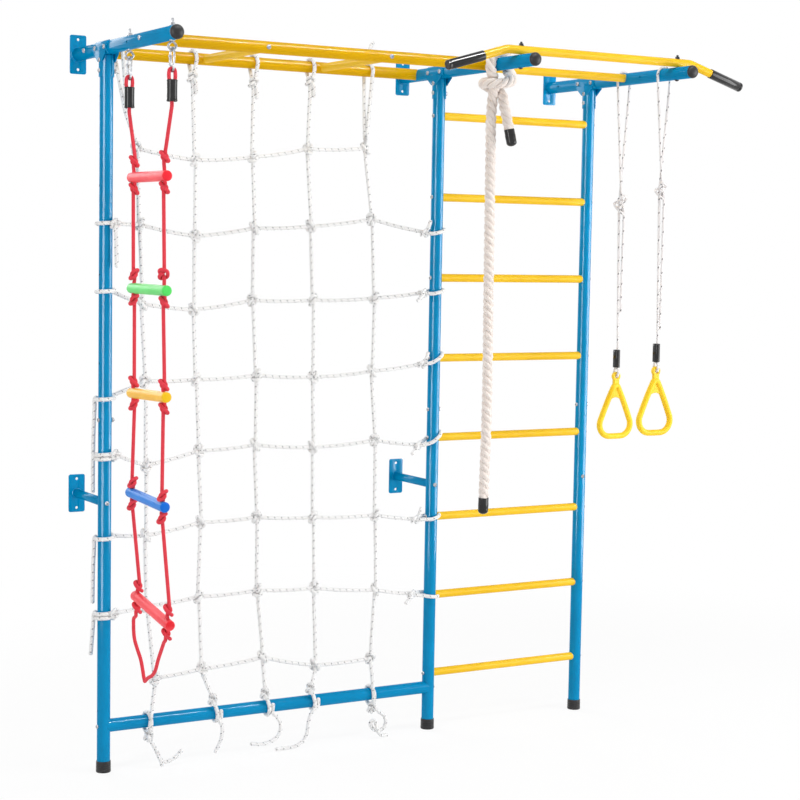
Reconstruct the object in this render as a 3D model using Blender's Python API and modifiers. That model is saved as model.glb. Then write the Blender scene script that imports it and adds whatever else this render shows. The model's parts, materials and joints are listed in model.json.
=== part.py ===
"""Wall bars climbing frame with a monkey bar, climbing net, rope ladder, climbing rope and rings.

Metres, +Z up. The origin is on the floor under the middle post. +X runs to the right along the
wall, +Y runs to the wall, and the user stands on the -Y side.
"""

from math import cos, pi, radians, sin, tan

import bmesh
import bpy
from mathutils import Matrix, Vector

# Clearance left between two pieces that touch
GAP = 0.0003

# Posts, in the order left, middle, right
NET_BAY = 1.090
LADDER_BAY = 0.570
POST_X = {"left": -NET_BAY, "middle": 0.0, "right": LADDER_BAY}
POST_RADIUS = 0.019
POST_WALL = 0.0015
POST_STEPS = 14
SEAM_Z = 0.981
SPIGOT_LENGTH = 0.080
SPIGOT_TAPER = 0.006

# Rubber feet under the posts
FOOT_RADIUS = 0.0215
FOOT_TOP_RADIUS = 0.0207
FOOT_HEIGHT = 0.033
FOOT_FLOOR = 0.005
FOOT_EDGE = 0.002

# Arms that run over the posts from the wall to the front
ARM_Z = 2.063
ARM_REACH = {"left": 0.492, "middle": 0.522, "right": 0.522}
WALL_Y = 0.228

# Plates against the wall
PLATE_WIDTH = 0.050
PLATE_HEIGHT = 0.112
PLATE_THICKNESS = 0.003
PLATE_CORNER = 0.006
PLATE_HOLE_SPACING = 0.086
PLATE_HOLE_RADIUS = 0.004

# Wall brackets at half height, on the left and middle posts
BRACKET_Z = 0.782
BRACKET_RADIUS = 0.0125
BRACKET_WALL = 0.0015

# Domed plugs in the front ends of the arms
CAP_RADIUS = 0.0195
CAP_DOME = 0.014
CAP_PLUG = 0.018

# Pressed half shells that clamp each arm on its post
SHELL_THICKNESS = 0.0025
SHELL_ARM_HALF = 0.050
SHELL_DROP = 0.080
SHELL_GUSSET = 0.020
SHELL_WRAP = radians(62)
SHELL_WRAP_STEPS = 4
SHELL_STOCK = 0.0009
SHELL_INSET = 0.0003

# Bars between the posts
RUNG_RADIUS = 0.0125
RUNG_WALL = 0.0012
RUNG_STEPS = 10
RUNG_COUNT = 8
RUNG_FIRST_Z = 0.180
RUNG_TOP_DROP = 0.133
RUNG_PITCH = (ARM_Z - RUNG_TOP_DROP - RUNG_FIRST_Z) / (RUNG_COUNT - 1)
BOTTOM_BAR_Z = 0.134

# Monkey bar: two rails from arm to arm, with two rungs between them
RAIL_RADIUS = 0.0172
RAIL_WALL = 0.0015
RAIL_STEPS = 14
RAIL_LIFT = 0.002
RAIL_Z = ARM_Z + RAIL_LIFT
REAR_RAIL_Y = 0.127
FRONT_RAIL_Y = -0.287
MONKEY_RUNG_X = (-0.735, -0.345)

# Rail between the arms over the ladder
LADDER_RAIL_Y = -0.207

# Pull-up bar with bent ends, bolted on top of the two right arms
PULL_UP_Y = -0.450
PULL_UP_RADIUS = 0.0125
PULL_UP_STRAIGHT = 0.048
PULL_UP_BEND = radians(16.5)
PULL_UP_BEND_RADIUS = 0.060
PULL_UP_END = 0.205
GRIP_RADIUS = 0.0145
GRIP_LENGTH = 0.126
GRIP_END = 0.004

# Climbing net
NET_ROPE_RADIUS = 0.0055
NET_KNOT_RADIUS = 0.0140
NET_KNOT_HALF = 0.0170
NET_TOP_DROP = 0.263
NET_TOP_Z = ARM_Z - NET_TOP_DROP
NET_MESH = 0.220
NET_ROWS = 8
NET_COLUMNS = (0.130, 0.295, 0.485, 0.677, 0.885)
NET_DEPTH = (0.085, 0.050, 0.030, 0.020, 0.015, 0.010, 0.008, 0.004)
NET_SAG = 0.045
NET_LONG_SPAN = 0.140
NET_SIDES = 5
LOOP_STEPS = 7
TAIL_STEP = 0.080

# Rope ladder under the left arm
LADDER_ROPE_RADIUS = 0.005
LADDER_KNOT_RADIUS = 0.0115
LADDER_KNOT_HALF = 0.0135
LADDER_HANG_Y = (-0.171, -0.464)
LADDER_ROPE_INSET = 0.0215
STEP_RADIUS = 0.0143
STEP_LENGTH = 0.253
# Each rung's name, place along the arm, height, dip in degrees, and the rise of the knots over it
STEP_PLACES = (
    ("rope_ladder_rung_1", -0.3135, 1.698, 0.3, 0.029, 0.036),
    ("rope_ladder_rung_2", -0.3165, 1.398, 0.1, 0.024, 0.029),
    ("rope_ladder_rung_3", -0.3195, 1.1145, -1.5, 0.017, 0.017),
    ("rope_ladder_rung_4", -0.3145, 0.8305, 2.6, 0.017, 0.016),
    ("rope_ladder_rung_5", -0.3555, 0.5345, 9.4, 0.017, 0.022),
)
LADDER_TIP = (-0.306, 0.330)
SLEEVE_RADIUS = 0.0140
SLEEVE_TOP_Z = 1.943
SLEEVE_LENGTH = 0.055

# Eye bolts through the left arm, and the snap hooks on them
EYE_RADIUS = 0.011
EYE_ROD = 0.003
EYE_SHANK = 0.0038
EYE_NUT_RADIUS = 0.0072
EYE_NUT_HEIGHT = 0.007
EYE_TAIL = 0.012
HOOK_ROD = 0.003
HOOK_LENGTH = 0.066
HOOK_WIDTH = 0.032
HOOK_NECK = 0.0235

# Climbing rope round the middle arm
ROPE_RADIUS = 0.0160
ROPE_Y = -0.300
ROPE_END_Z = 0.735
# Points (across, along the arm, below the arm) on the hanging part, on the wrap round it and on the tail
ROPE_HANG = (
    (0.0020, -0.0060, 1.013),
    (0.0000, -0.0040, 0.613),
    (0.0000, 0.0000, 0.263),
    (0.0000, 0.0000, 0.133),
    (0.0006, -0.0050, 0.090),
    (-0.0049, -0.0203, 0.050),
)
ROPE_WRAP = (
    (0.0384, -0.0433, 0.044),
    (0.0203, -0.0605, 0.058),
    (-0.0075, -0.0605, 0.063),
    (-0.0307, -0.0446, 0.060),
    (-0.0361, -0.0183, 0.055),
    (-0.0246, 0.0074, 0.056),
    (0.0009, 0.0215, 0.062),
    (0.0246, 0.0065, 0.072),
    (0.0268, -0.0156, 0.090),
)
ROPE_TAIL = (
    (0.0271, -0.0251, 0.115),
    (0.0318, -0.0348, 0.155),
    (0.0436, -0.0463, 0.2295),
)
# Angles round the arm and places along it, from the left side over the top to the right side
ROPE_OVER = (
    (200, -0.044),
    (175, -0.048),
    (140, -0.046),
    (105, -0.042),
    (70, -0.038),
    (35, -0.035),
    (0, -0.033),
    (-20, -0.033),
)
ROPE_WRAP_WIDER = 1.03
ROPE_SLACK = 0.0012
ROPE_BEND_STEP = 0.016
ROPE_CAP_WALL = 0.0015
ROPE_CAP_LENGTH = 0.050
ROPE_CAP_STEPS = 12

# Rings under the right arm
RING_ROPE_RADIUS = 0.004
RING_KNOT_RADIUS = {"rear": 0.0165, "front": 0.0145}
RING_KNOT_HALF = {"rear": 0.023, "front": 0.018}
RING_PLACES = {"rear": (-0.185, 1.124), "front": (-0.388, 1.154)}
RING_KNOT_Z = {"rear": 1.668, "front": 1.708}
RING_TAIL_Z = {"rear": 1.330, "front": 1.285}
RING_SLEEVE_DROP = 0.028
RING_SLEEVE_LENGTH = 0.057
RING_SLEEVE_WIDTH = 0.026
RING_SLEEVE_DEPTH = 0.017
RING_HEIGHT = 0.176
RING_WIDTH = 0.158
RING_TUBE_WIDE = 0.0095
RING_CORNER = 0.038
RING_LUG_RADIUS = 0.0145
RING_LUG_HOLE = 0.0068
RING_LUG_THICKNESS = 0.012
RING_WEB_THICKNESS = 0.006
RING_WEB_DROP = 0.062


def clear_scene():
    for item in list(bpy.data.objects):
        bpy.data.objects.remove(item, do_unlink=True)


def new_collection(name):
    group = bpy.data.collections.new(name)
    bpy.context.scene.collection.children.link(group)
    return group


def new_material(name, colour, roughness, metallic=0.0):
    made = bpy.data.materials.new(name)
    made.use_nodes = True
    shader = made.node_tree.nodes["Principled BSDF"]
    shader.inputs["Base Color"].default_value = (*colour, 1.0)
    shader.inputs["Roughness"].default_value = roughness
    shader.inputs["Metallic"].default_value = metallic
    made.diffuse_color = (*colour, 1.0)
    return made


clear_scene()
PARTS = new_collection("wall_bars_climbing_frame")
CUTTERS = new_collection("cutters")

BLUE_PAINT = new_material("blue_paint", (0.0, 0.27, 0.60), 0.28)
YELLOW_PAINT = new_material("yellow_paint", (0.90, 0.50, 0.03), 0.30)
BLACK_RUBBER = new_material("black_rubber", (0.02, 0.02, 0.022), 0.55)
ZINC = new_material("zinc_plated_steel", (0.62, 0.62, 0.60), 0.30, 1.0)
NET_CORD = new_material("white_net_cord", (0.80, 0.79, 0.76), 0.85)
COTTON = new_material("cotton_rope", (0.78, 0.72, 0.63), 0.90)
RED_ROPE = new_material("red_rope", (0.60, 0.02, 0.03), 0.75)
RING_PLASTIC = new_material("yellow_plastic", (0.95, 0.68, 0.05), 0.40)
STEP_COLOURS = {
    "rope_ladder_rung_1": new_material("coral_plastic", (0.85, 0.08, 0.09), 0.35),
    "rope_ladder_rung_2": new_material("green_plastic", (0.12, 0.75, 0.15), 0.35),
    "rope_ladder_rung_3": new_material("orange_plastic", (0.95, 0.50, 0.06), 0.35),
    "rope_ladder_rung_4": new_material("blue_plastic", (0.03, 0.18, 0.75), 0.35),
    "rope_ladder_rung_5": new_material("coral_plastic_low", (0.85, 0.08, 0.09), 0.35),
}


# Building helpers

def place(item, start, direction):
    """Sets the object's local Z along direction, with its own origin at start."""
    item.matrix_world = Matrix.Translation(start) @ Vector(direction).to_track_quat("Z", "Y").to_matrix().to_4x4()


def add_object(name, data, material=None, group=None):
    item = bpy.data.objects.new(name, data)
    (group or PARTS).objects.link(item)
    if material:
        data.materials.append(material)
    return item


def as_cutter(item):
    """Hides a helper from the render and shows it as a wire."""
    item.hide_render = True
    item.display_type = "WIRE"
    return item


def turned(name, profile, steps, material, start=(0, 0, 0), direction=(0, 0, 1), group=None):
    """A closed outline of (radius, height) turned about Z, given down its outer side first."""
    data = bpy.data.meshes.new(name)
    points = [(radius, 0, height) for radius, height in profile]
    closed = all(radius > 0 for radius, _ in profile)
    edges = [(i, i + 1) for i in range(len(points) - 1)]
    if closed:
        edges.append((len(points) - 1, 0))
    data.from_pydata(points, edges, [])
    item = add_object(name, data, material, group)
    screw = item.modifiers.new("turn", "SCREW")
    screw.steps = steps
    screw.render_steps = steps
    screw.use_smooth_shade = True
    screw.use_merge_vertices = not closed
    screw.merge_threshold = 0.00001
    place(item, start, direction)
    return item


def tube(name, radius, wall, start, end, steps, material):
    """A hollow tube from start to end, open at both ends."""
    start = Vector(start)
    run = Vector(end) - start
    length = run.length
    profile = [(radius, length), (radius, 0), (radius - wall, 0), (radius - wall, length)]
    return turned(name, profile, steps, material, start, run)


def rod(name, radius, start, end, steps, material=None, group=None):
    """A solid round bar from start to end."""
    start = Vector(start)
    run = Vector(end) - start
    data = bpy.data.meshes.new(name)
    shape = bmesh.new()
    bmesh.ops.create_cone(
        shape, cap_ends=True, segments=steps, radius1=radius, radius2=radius, depth=run.length
    )
    # The first corner lies on local X, as on a turned piece, so that facets of nested pieces line up
    bmesh.ops.rotate(shape, verts=shape.verts, matrix=Matrix.Rotation(-pi / 2, 3, "Z"))
    bmesh.ops.translate(shape, verts=shape.verts, vec=(0, 0, run.length / 2))
    shape.to_mesh(data)
    shape.free()
    item = add_object(name, data, material, group)
    place(item, start, run)
    return item


def helper_rod(name, radius, start, end, steps):
    return as_cutter(rod(name, radius, start, end, steps, group=CUTTERS))


def box(name, size, centre, group=None, material=None):
    data = bpy.data.meshes.new(name)
    shape = bmesh.new()
    bmesh.ops.create_cube(shape, size=1.0)
    bmesh.ops.scale(shape, verts=shape.verts, vec=size)
    shape.to_mesh(data)
    shape.free()
    item = add_object(name, data, material, group)
    item.location = centre
    return item


def boolean(item, other, operation):
    change = item.modifiers.new(operation.lower(), "BOOLEAN")
    change.operation = operation
    change.object = other
    change.solver = "EXACT"


def cut(item, other):
    boolean(item, other, "DIFFERENCE")


def join(item, other):
    boolean(item, other, "UNION")


def as_mesh(item, material=None, group=None, weld=0.00002):
    """Turns an object and its modifiers into a plain mesh object of the same name."""
    bpy.context.view_layer.update()
    evaluated = item.evaluated_get(bpy.context.evaluated_depsgraph_get())
    data = bpy.data.meshes.new_from_object(evaluated)
    shape = bmesh.new()
    shape.from_mesh(data)
    bmesh.ops.remove_doubles(shape, verts=shape.verts, dist=weld)
    bmesh.ops.recalc_face_normals(shape, faces=shape.faces)
    shape.to_mesh(data)
    shape.free()
    matrix = item.matrix_world.copy()
    name = item.name
    bpy.data.objects.remove(item, do_unlink=True)
    data.materials.clear()
    made = add_object(name, data, material, group)
    made.matrix_world = matrix
    return made


def merged(name, pieces, material):
    """One solid made of overlapping pieces, which stay behind as hidden helpers."""
    base = pieces[0]
    extra = bpy.data.collections.new(name + "_pieces")
    CUTTERS.children.link(extra)
    for piece in pieces[1:]:
        for group in list(piece.users_collection):
            group.objects.unlink(piece)
        extra.objects.link(as_cutter(piece))
    union = base.modifiers.new("union", "BOOLEAN")
    union.operation = "UNION"
    union.operand_type = "COLLECTION"
    union.collection = extra
    union.solver = "EXACT"
    return as_mesh(base, material, weld=0.0000005)


def spline_points(route, spacing, closed=False):
    """Points about spacing apart on a smooth curve through the route's points."""
    route = [Vector(point) for point in route]
    count = len(route)
    found = []
    spans = count if closed else count - 1
    for i in range(spans):
        before = route[(i - 1) % count] if closed or i > 0 else route[i] * 2 - route[i + 1]
        here = route[i]
        there = route[(i + 1) % count]
        after = route[(i + 2) % count] if closed or i + 2 < count else there * 2 - here
        parts = max(1, round((there - here).length / spacing))
        for part in range(parts):
            t = part / parts
            bend = (before * -1 + here * 3 - there * 3 + after) * t
            slope = (bend + before * 2 - here * 5 + there * 4 - after) * t
            found.append(((slope + there - before) * t + here * 2) / 2)
    if not closed:
        found.append(route[-1])
    return found


def rope(name, points, radius, swell=None, resolution=2, closed=False, material=None, sides=None):
    """A cord along the points as a mesh. swell holds each point's radius as a multiple."""
    data = bpy.data.curves.new(name, "CURVE")
    data.dimensions = "3D"
    data.bevel_depth = radius
    data.bevel_resolution = resolution
    data.use_fill_caps = not closed
    data.resolution_u = 1
    data.twist_mode = "MINIMUM"
    line = data.splines.new("POLY")
    line.points.add(len(points) - 1)
    for i, point in enumerate(points):
        line.points[i].co = (*point, 1.0)
        line.points[i].radius = swell[i] if swell else 1.0
    line.use_cyclic_u = closed
    item = bpy.data.objects.new(name, data)
    PARTS.objects.link(item)
    if sides:
        data.bevel_mode = "OBJECT"
        data.bevel_object = section(name + "_section", radius, sides)
    return as_mesh(item, material)


def section(name, radius, sides):
    """A regular outline that a cord is swept with."""
    data = bpy.data.curves.new(name, "CURVE")
    line = data.splines.new("POLY")
    line.points.add(sides - 1)
    for i in range(sides):
        angle = 2 * pi * (i + 0.5) / sides
        line.points[i].co = (radius * cos(angle), radius * sin(angle), 0, 1)
    line.use_cyclic_u = True
    item = bpy.data.objects.new(name, data)
    CUTTERS.objects.link(as_cutter(item))
    return item


def circle(centre, radius, steps, across, up):
    """Points on a circle in the plane of the two directions."""
    centre = Vector(centre)
    across = Vector(across)
    up = Vector(up)
    turn = [2 * pi * i / steps for i in range(steps)]
    return [centre + across * radius * cos(angle) + up * radius * sin(angle) for angle in turn]


def own_origin(item, point):
    """Moves the object's origin to the point, which lies on its joint's axis."""
    shift = Vector(point) - item.matrix_world.translation
    item.data.transform(Matrix.Translation(item.matrix_world.to_3x3().inverted() @ -shift))
    item.matrix_world = Matrix.Translation(shift) @ item.matrix_world


# Posts and feet

def make_posts():
    spigot = POST_RADIUS - POST_WALL - GAP
    bore = POST_RADIUS - POST_WALL
    foot_top = FOOT_FLOOR + GAP
    upper_top = ARM_Z - POST_RADIUS - GAP
    for side, x in POST_X.items():
        turned(
            f"post_{side}_lower",
            [
                (spigot, SEAM_Z + SPIGOT_LENGTH),
                (spigot, SEAM_Z),
                (POST_RADIUS, SEAM_Z),
                (POST_RADIUS, foot_top),
                (bore, foot_top),
                (bore, SEAM_Z - SPIGOT_TAPER),
                (spigot - POST_WALL, SEAM_Z),
                (spigot - POST_WALL, SEAM_Z + SPIGOT_LENGTH),
            ],
            POST_STEPS,
            BLUE_PAINT,
            (x, 0, 0),
        )
        tube(
            f"post_{side}_upper",
            POST_RADIUS,
            POST_WALL,
            (x, 0, SEAM_Z + GAP),
            (x, 0, upper_top),
            POST_STEPS,
            BLUE_PAINT,
        )
        inside = POST_RADIUS + GAP
        turned(
            f"foot_{side}",
            [
                (FOOT_TOP_RADIUS, FOOT_HEIGHT),
                (FOOT_RADIUS, FOOT_EDGE),
                (FOOT_RADIUS - FOOT_EDGE, 0),
                (0, 0),
                (0, FOOT_FLOOR),
                (inside, FOOT_FLOOR),
                (inside, FOOT_HEIGHT),
                (FOOT_TOP_RADIUS, FOOT_HEIGHT),
            ],
            POST_STEPS,
            BLACK_RUBBER,
            (x, 0, 0),
        )


def post_cutters():
    """Solid posts, a clearance larger, that shape the coped ends of the bars between them."""
    return {
        side: as_cutter(
            turned(
                f"post_{side}_clearance",
                [(POST_RADIUS + GAP, ARM_Z), (POST_RADIUS + GAP, 0), (0, 0), (0, ARM_Z), (POST_RADIUS + GAP, ARM_Z)],
                POST_STEPS,
                None,
                (x, 0, 0),
                group=CUTTERS,
            )
        )
        for side, x in POST_X.items()
    }


# Arms with their welded wall plates

def wall_plate(name, x, z):
    """A plate with rounded corners and two screw holes, as a helper."""
    plate = box(name, (PLATE_WIDTH, PLATE_THICKNESS, PLATE_HEIGHT), (x, WALL_Y - PLATE_THICKNESS / 2, z), CUTTERS)
    shape = bmesh.new()
    shape.from_mesh(plate.data)
    corners = [e for e in shape.edges if abs((e.verts[0].co - e.verts[1].co).normalized().y) > 0.9]
    bmesh.ops.bevel(shape, geom=corners, offset=PLATE_CORNER, segments=2, affect="EDGES", profile=0.5)
    shape.to_mesh(plate.data)
    shape.free()
    return as_cutter(plate)


def drill_plate(item, name, x, z):
    for end, offset in (("top", PLATE_HOLE_SPACING / 2), ("bottom", -PLATE_HOLE_SPACING / 2)):
        start = (x, WALL_Y - 4 * PLATE_THICKNESS, z + offset)
        finish = (x, WALL_Y + PLATE_THICKNESS, z + offset)
        cut(item, helper_rod(f"{name}_hole_{end}", PLATE_HOLE_RADIUS, start, finish, 8))


def make_arms():
    for side, x in POST_X.items():
        front = (x, -ARM_REACH[side], ARM_Z)
        back = (x, WALL_Y - PLATE_THICKNESS / 2, ARM_Z)
        name = f"arm_{side}"
        arm = tube(name, POST_RADIUS, POST_WALL, front, back, POST_STEPS, BLUE_PAINT)
        join(arm, wall_plate(f"{name}_plate", x, ARM_Z))
        drill_plate(arm, name, x, ARM_Z)
        if side == "left":
            for i, y in enumerate(LADDER_HANG_Y):
                low = (x, y, ARM_Z - 2 * POST_RADIUS)
                high = (x, y, ARM_Z + 2 * POST_RADIUS)
                cut(arm, helper_rod(f"{name}_bolt_hole_{i + 1}", EYE_SHANK + GAP, low, high, 10))
        plug = (POST_RADIUS - POST_WALL) * cos(pi / POST_STEPS) - GAP
        dome = [(CAP_RADIUS * cos(a), CAP_DOME * sin(a)) for a in (0.0, 0.5, 0.95, 1.3)]
        turned(
            f"arm_cap_{side}",
            [(0, CAP_DOME)]
            + dome[::-1]
            + [(CAP_RADIUS, 0), (CAP_RADIUS, -0.001), (plug, -0.001), (plug, -CAP_PLUG), (0, -CAP_PLUG)],
            12,
            BLACK_RUBBER,
            (x, -ARM_REACH[side] - 0.001 - GAP, ARM_Z),
            (0, -1, 0),
        )


def make_brackets(cutters):
    for side in ("left", "middle"):
        x = POST_X[side]
        name = f"wall_bracket_{side}"
        stub = tube(
            name,
            BRACKET_RADIUS,
            BRACKET_WALL,
            (x, 0.004, BRACKET_Z),
            (x, WALL_Y - PLATE_THICKNESS / 2, BRACKET_Z),
            RUNG_STEPS,
            BLUE_PAINT,
        )
        cut(stub, cutters[side])
        join(stub, wall_plate(f"{name}_plate", x, BRACKET_Z))
        drill_plate(stub, name, x, BRACKET_Z)


# Pressed half shells at the arm and post joints

def arc_band(radius, thickness, first, last, steps):
    """Outline of a curved strip, outer side first, as (across, out) pairs."""
    angles = [first + (last - first) * i / steps for i in range(steps + 1)]
    outer = [((radius + thickness) * cos(a), (radius + thickness) * sin(a)) for a in angles]
    inner = [(radius * cos(a), radius * sin(a)) for a in reversed(angles)]
    return outer + inner


def extruded(name, outline, depth, matrix):
    """A flat outline given a depth, as a helper solid."""
    data = bpy.data.curves.new(name, "CURVE")
    data.dimensions = "2D"
    data.fill_mode = "BOTH"
    data.extrude = depth / 2
    line = data.splines.new("POLY")
    line.points.add(len(outline) - 1)
    for i, (u, v) in enumerate(outline):
        line.points[i].co = (u, v, 0, 1)
    line.use_cyclic_u = True
    item = bpy.data.objects.new(name, data)
    CUTTERS.objects.link(item)
    item.matrix_world = matrix
    return as_cutter(as_mesh(item, group=CUTTERS))


def make_shells():
    inner = POST_RADIUS + GAP
    # The bands start a little inside the bores, which then cut their whole inner faces
    stock = inner - SHELL_STOCK
    flange = POST_RADIUS * sin(SHELL_WRAP)
    for side, x in POST_X.items():
        for hand, sign in (("left", -1), ("right", 1)):
            name = f"clamp_{side}_{hand}"
            middle = 0.0 if sign > 0 else pi
            thick = SHELL_THICKNESS + SHELL_STOCK
            band = arc_band(stock, thick, middle - SHELL_WRAP, middle + SHELL_WRAP, SHELL_WRAP_STEPS)
            # The part along the arm, then the part down the post
            along = Matrix.Translation((x, 0, ARM_Z)) @ Matrix.Rotation(pi / 2, 4, "X")
            arm_band = extruded(name, band, 2 * SHELL_ARM_HALF, along)
            drop = SHELL_DROP
            down = Matrix.Translation((x, 0, ARM_Z - drop / 2))
            post_band = extruded(f"{name}_post", band, drop, down)
            # A flat gusset in each corner, in the outer plane of the shell
            reach = POST_RADIUS + SHELL_GUSSET
            top = ARM_Z - flange * 0.55
            edge = POST_RADIUS - flange * 0.55
            low = edge + SHELL_GUSSET
            plate_outline = [
                (-reach - 0.003, 0.0),
                (-reach, -edge),
                (-flange * 0.8, -low),
                (flange * 0.8, -low),
                (reach, -edge),
                (reach + 0.003, 0.0),
            ]
            out = sign * (inner + SHELL_THICKNESS / 2)
            upright = Matrix.Translation((x + out, 0, top)) @ Matrix(
                ((0, 0, 1, 0), (1, 0, 0, 0), (0, 1, 0, 0), (0, 0, 0, 1))
            )
            # It is a little thinner than the bands, so that no two faces lie in one plane
            gusset = extruded(f"{name}_gusset", plate_outline, SHELL_THICKNESS - 2 * SHELL_INSET, upright)
            shell = merged(name, [arm_band, post_band, gusset], BLUE_PAINT)
            # The band of the post stops under the arm, and the band of the arm is open round the post
            cut(shell, helper_rod(f"{name}_arm_bore", inner, (x, -0.2, ARM_Z), (x, 0.2, ARM_Z), POST_STEPS))
            post_bore = helper_rod(f"{name}_post_bore", inner, (x, 0, ARM_Z - 0.2), (x, 0, ARM_Z), POST_STEPS)
            cut(shell, post_bore)


# Bars, rails and the pull-up bar

def make_bars(cutters):
    left, middle, right = (POST_X[side] for side in ("left", "middle", "right"))
    for i in range(RUNG_COUNT):
        z = RUNG_FIRST_Z + i * RUNG_PITCH
        rung = tube(f"rung_{i + 1}", RUNG_RADIUS, RUNG_WALL, (middle, 0, z), (right, 0, z), RUNG_STEPS, YELLOW_PAINT)
        cut(rung, cutters["middle"])
        cut(rung, cutters["right"])
    bar = tube(
        "bottom_bar", POST_RADIUS, POST_WALL, (left, 0, BOTTOM_BAR_Z), (middle, 0, BOTTOM_BAR_Z), POST_STEPS, BLUE_PAINT
    )
    cut(bar, cutters["left"])
    cut(bar, cutters["middle"])


def arm_cutters():
    """Solid arms, a clearance larger, that shape the coped ends of the rails between them."""
    return {
        side: helper_rod(
            f"arm_{side}_clearance", POST_RADIUS + GAP, (x, -ARM_REACH[side], ARM_Z), (x, WALL_Y, ARM_Z), POST_STEPS
        )
        for side, x in POST_X.items()
    }


def make_rails(cutters):
    left, middle, right = (POST_X[side] for side in ("left", "middle", "right"))
    rails = {"monkey_rail_rear": REAR_RAIL_Y, "monkey_rail_front": FRONT_RAIL_Y}
    for name, y in rails.items():
        rail = tube(name, RAIL_RADIUS, RAIL_WALL, (left, y, RAIL_Z), (middle, y, RAIL_Z), RAIL_STEPS, YELLOW_PAINT)
        cut(rail, cutters["left"])
        cut(rail, cutters["middle"])
    rail_shapes = [
        helper_rod(f"{name}_clearance", RAIL_RADIUS + GAP, (left, y, RAIL_Z), (middle, y, RAIL_Z), RAIL_STEPS)
        for name, y in rails.items()
    ]
    for i, x in enumerate(MONKEY_RUNG_X):
        rung = tube(
            f"monkey_rung_{i + 1}",
            RUNG_RADIUS,
            RUNG_WALL,
            (x, FRONT_RAIL_Y, RAIL_Z),
            (x, REAR_RAIL_Y, RAIL_Z),
            RUNG_STEPS,
            YELLOW_PAINT,
        )
        for shape in rail_shapes:
            cut(rung, shape)
    rail = tube(
        "ladder_rail",
        RUNG_RADIUS,
        RUNG_WALL,
        (middle, LADDER_RAIL_Y, RAIL_Z),
        (right, LADDER_RAIL_Y, RAIL_Z),
        RUNG_STEPS,
        YELLOW_PAINT,
    )
    cut(rail, cutters["middle"])
    cut(rail, cutters["right"])


def pull_up_route():
    """The bar's centre line: straight over the two arms, with an arc and a straight end at each side."""
    z = ARM_Z + POST_RADIUS + PULL_UP_RADIUS + GAP
    points = []
    for x, sign in ((POST_X["middle"] - PULL_UP_STRAIGHT, -1), (POST_X["right"] + PULL_UP_STRAIGHT, 1)):
        half = PULL_UP_BEND_RADIUS * tan(PULL_UP_BEND / 2)
        steps = 4
        arc = []
        for i in range(steps + 1):
            angle = PULL_UP_BEND * i / steps
            out = PULL_UP_BEND_RADIUS * sin(angle) - half
            fall = PULL_UP_BEND_RADIUS * (1 - cos(angle))
            arc.append(Vector((x + sign * out, PULL_UP_Y, z - fall)))
        end = arc[-1] + Vector((sign * cos(PULL_UP_BEND), 0, -sin(PULL_UP_BEND))) * (PULL_UP_END - half)
        side = arc + [end]
        points += side[::-1] if sign < 0 else side
    return points


def make_pull_up_bar():
    route = pull_up_route()
    rope("pull_up_bar", route, PULL_UP_RADIUS, material=YELLOW_PAINT, resolution=4)
    for side, end, before in (("left", route[0], route[1]), ("right", route[-1], route[-2])):
        out = (end - before).normalized()
        inside = PULL_UP_RADIUS + GAP
        grip_floor = GRIP_LENGTH - GRIP_END
        turned(
            f"grip_{side}",
            [
                (GRIP_RADIUS - 0.002, GRIP_LENGTH),
                (GRIP_RADIUS, GRIP_LENGTH - 0.003),
                (GRIP_RADIUS, 0.0015),
                (GRIP_RADIUS - 0.0015, 0),
                (inside, 0),
                (inside, grip_floor),
                (0, grip_floor),
                (0, GRIP_LENGTH),
                (GRIP_RADIUS - 0.002, GRIP_LENGTH),
            ],
            12,
            BLACK_RUBBER,
            end - out * (grip_floor - GAP),
            out,
        )


# Climbing net

NET_SWAY = (
    ((-3, -6), (14, -33), (10, -17), (2, 15), (-6, 25)),
    ((-9, -5), (-1, -35), (1, -8), (-1, 2), (2, 28)),
    ((-7, -12), (-10, -29), (-10, -1), (-1, -1), (3, 6)),
    ((1, -14), (-6, -13), (-2, -4), (-3, -13), (-6, 1)),
    ((2, -38), (2, -2), (-5, 8), (-2, -6), (6, 7)),
    ((0, -22), (9, 7), (2, 11), (-1, 0), (7, -6)),
    ((5, -9), (3, 6), (4, 10), (4, 2), (11, -21)),
    ((28, -3), (14, 10), (23, 25), (10, -17), (-3, -14)),
)
NET_RAIL_X = (0.086, 0.317, 0.515, 0.706, 0.909)
NET_FOOT_X = (0.134, 0.351, 0.522, 0.676, 0.878)
LEFT_TIE_Z = (1.573, 1.384, 1.079, 0.919, 0.680, 0.462)
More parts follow.
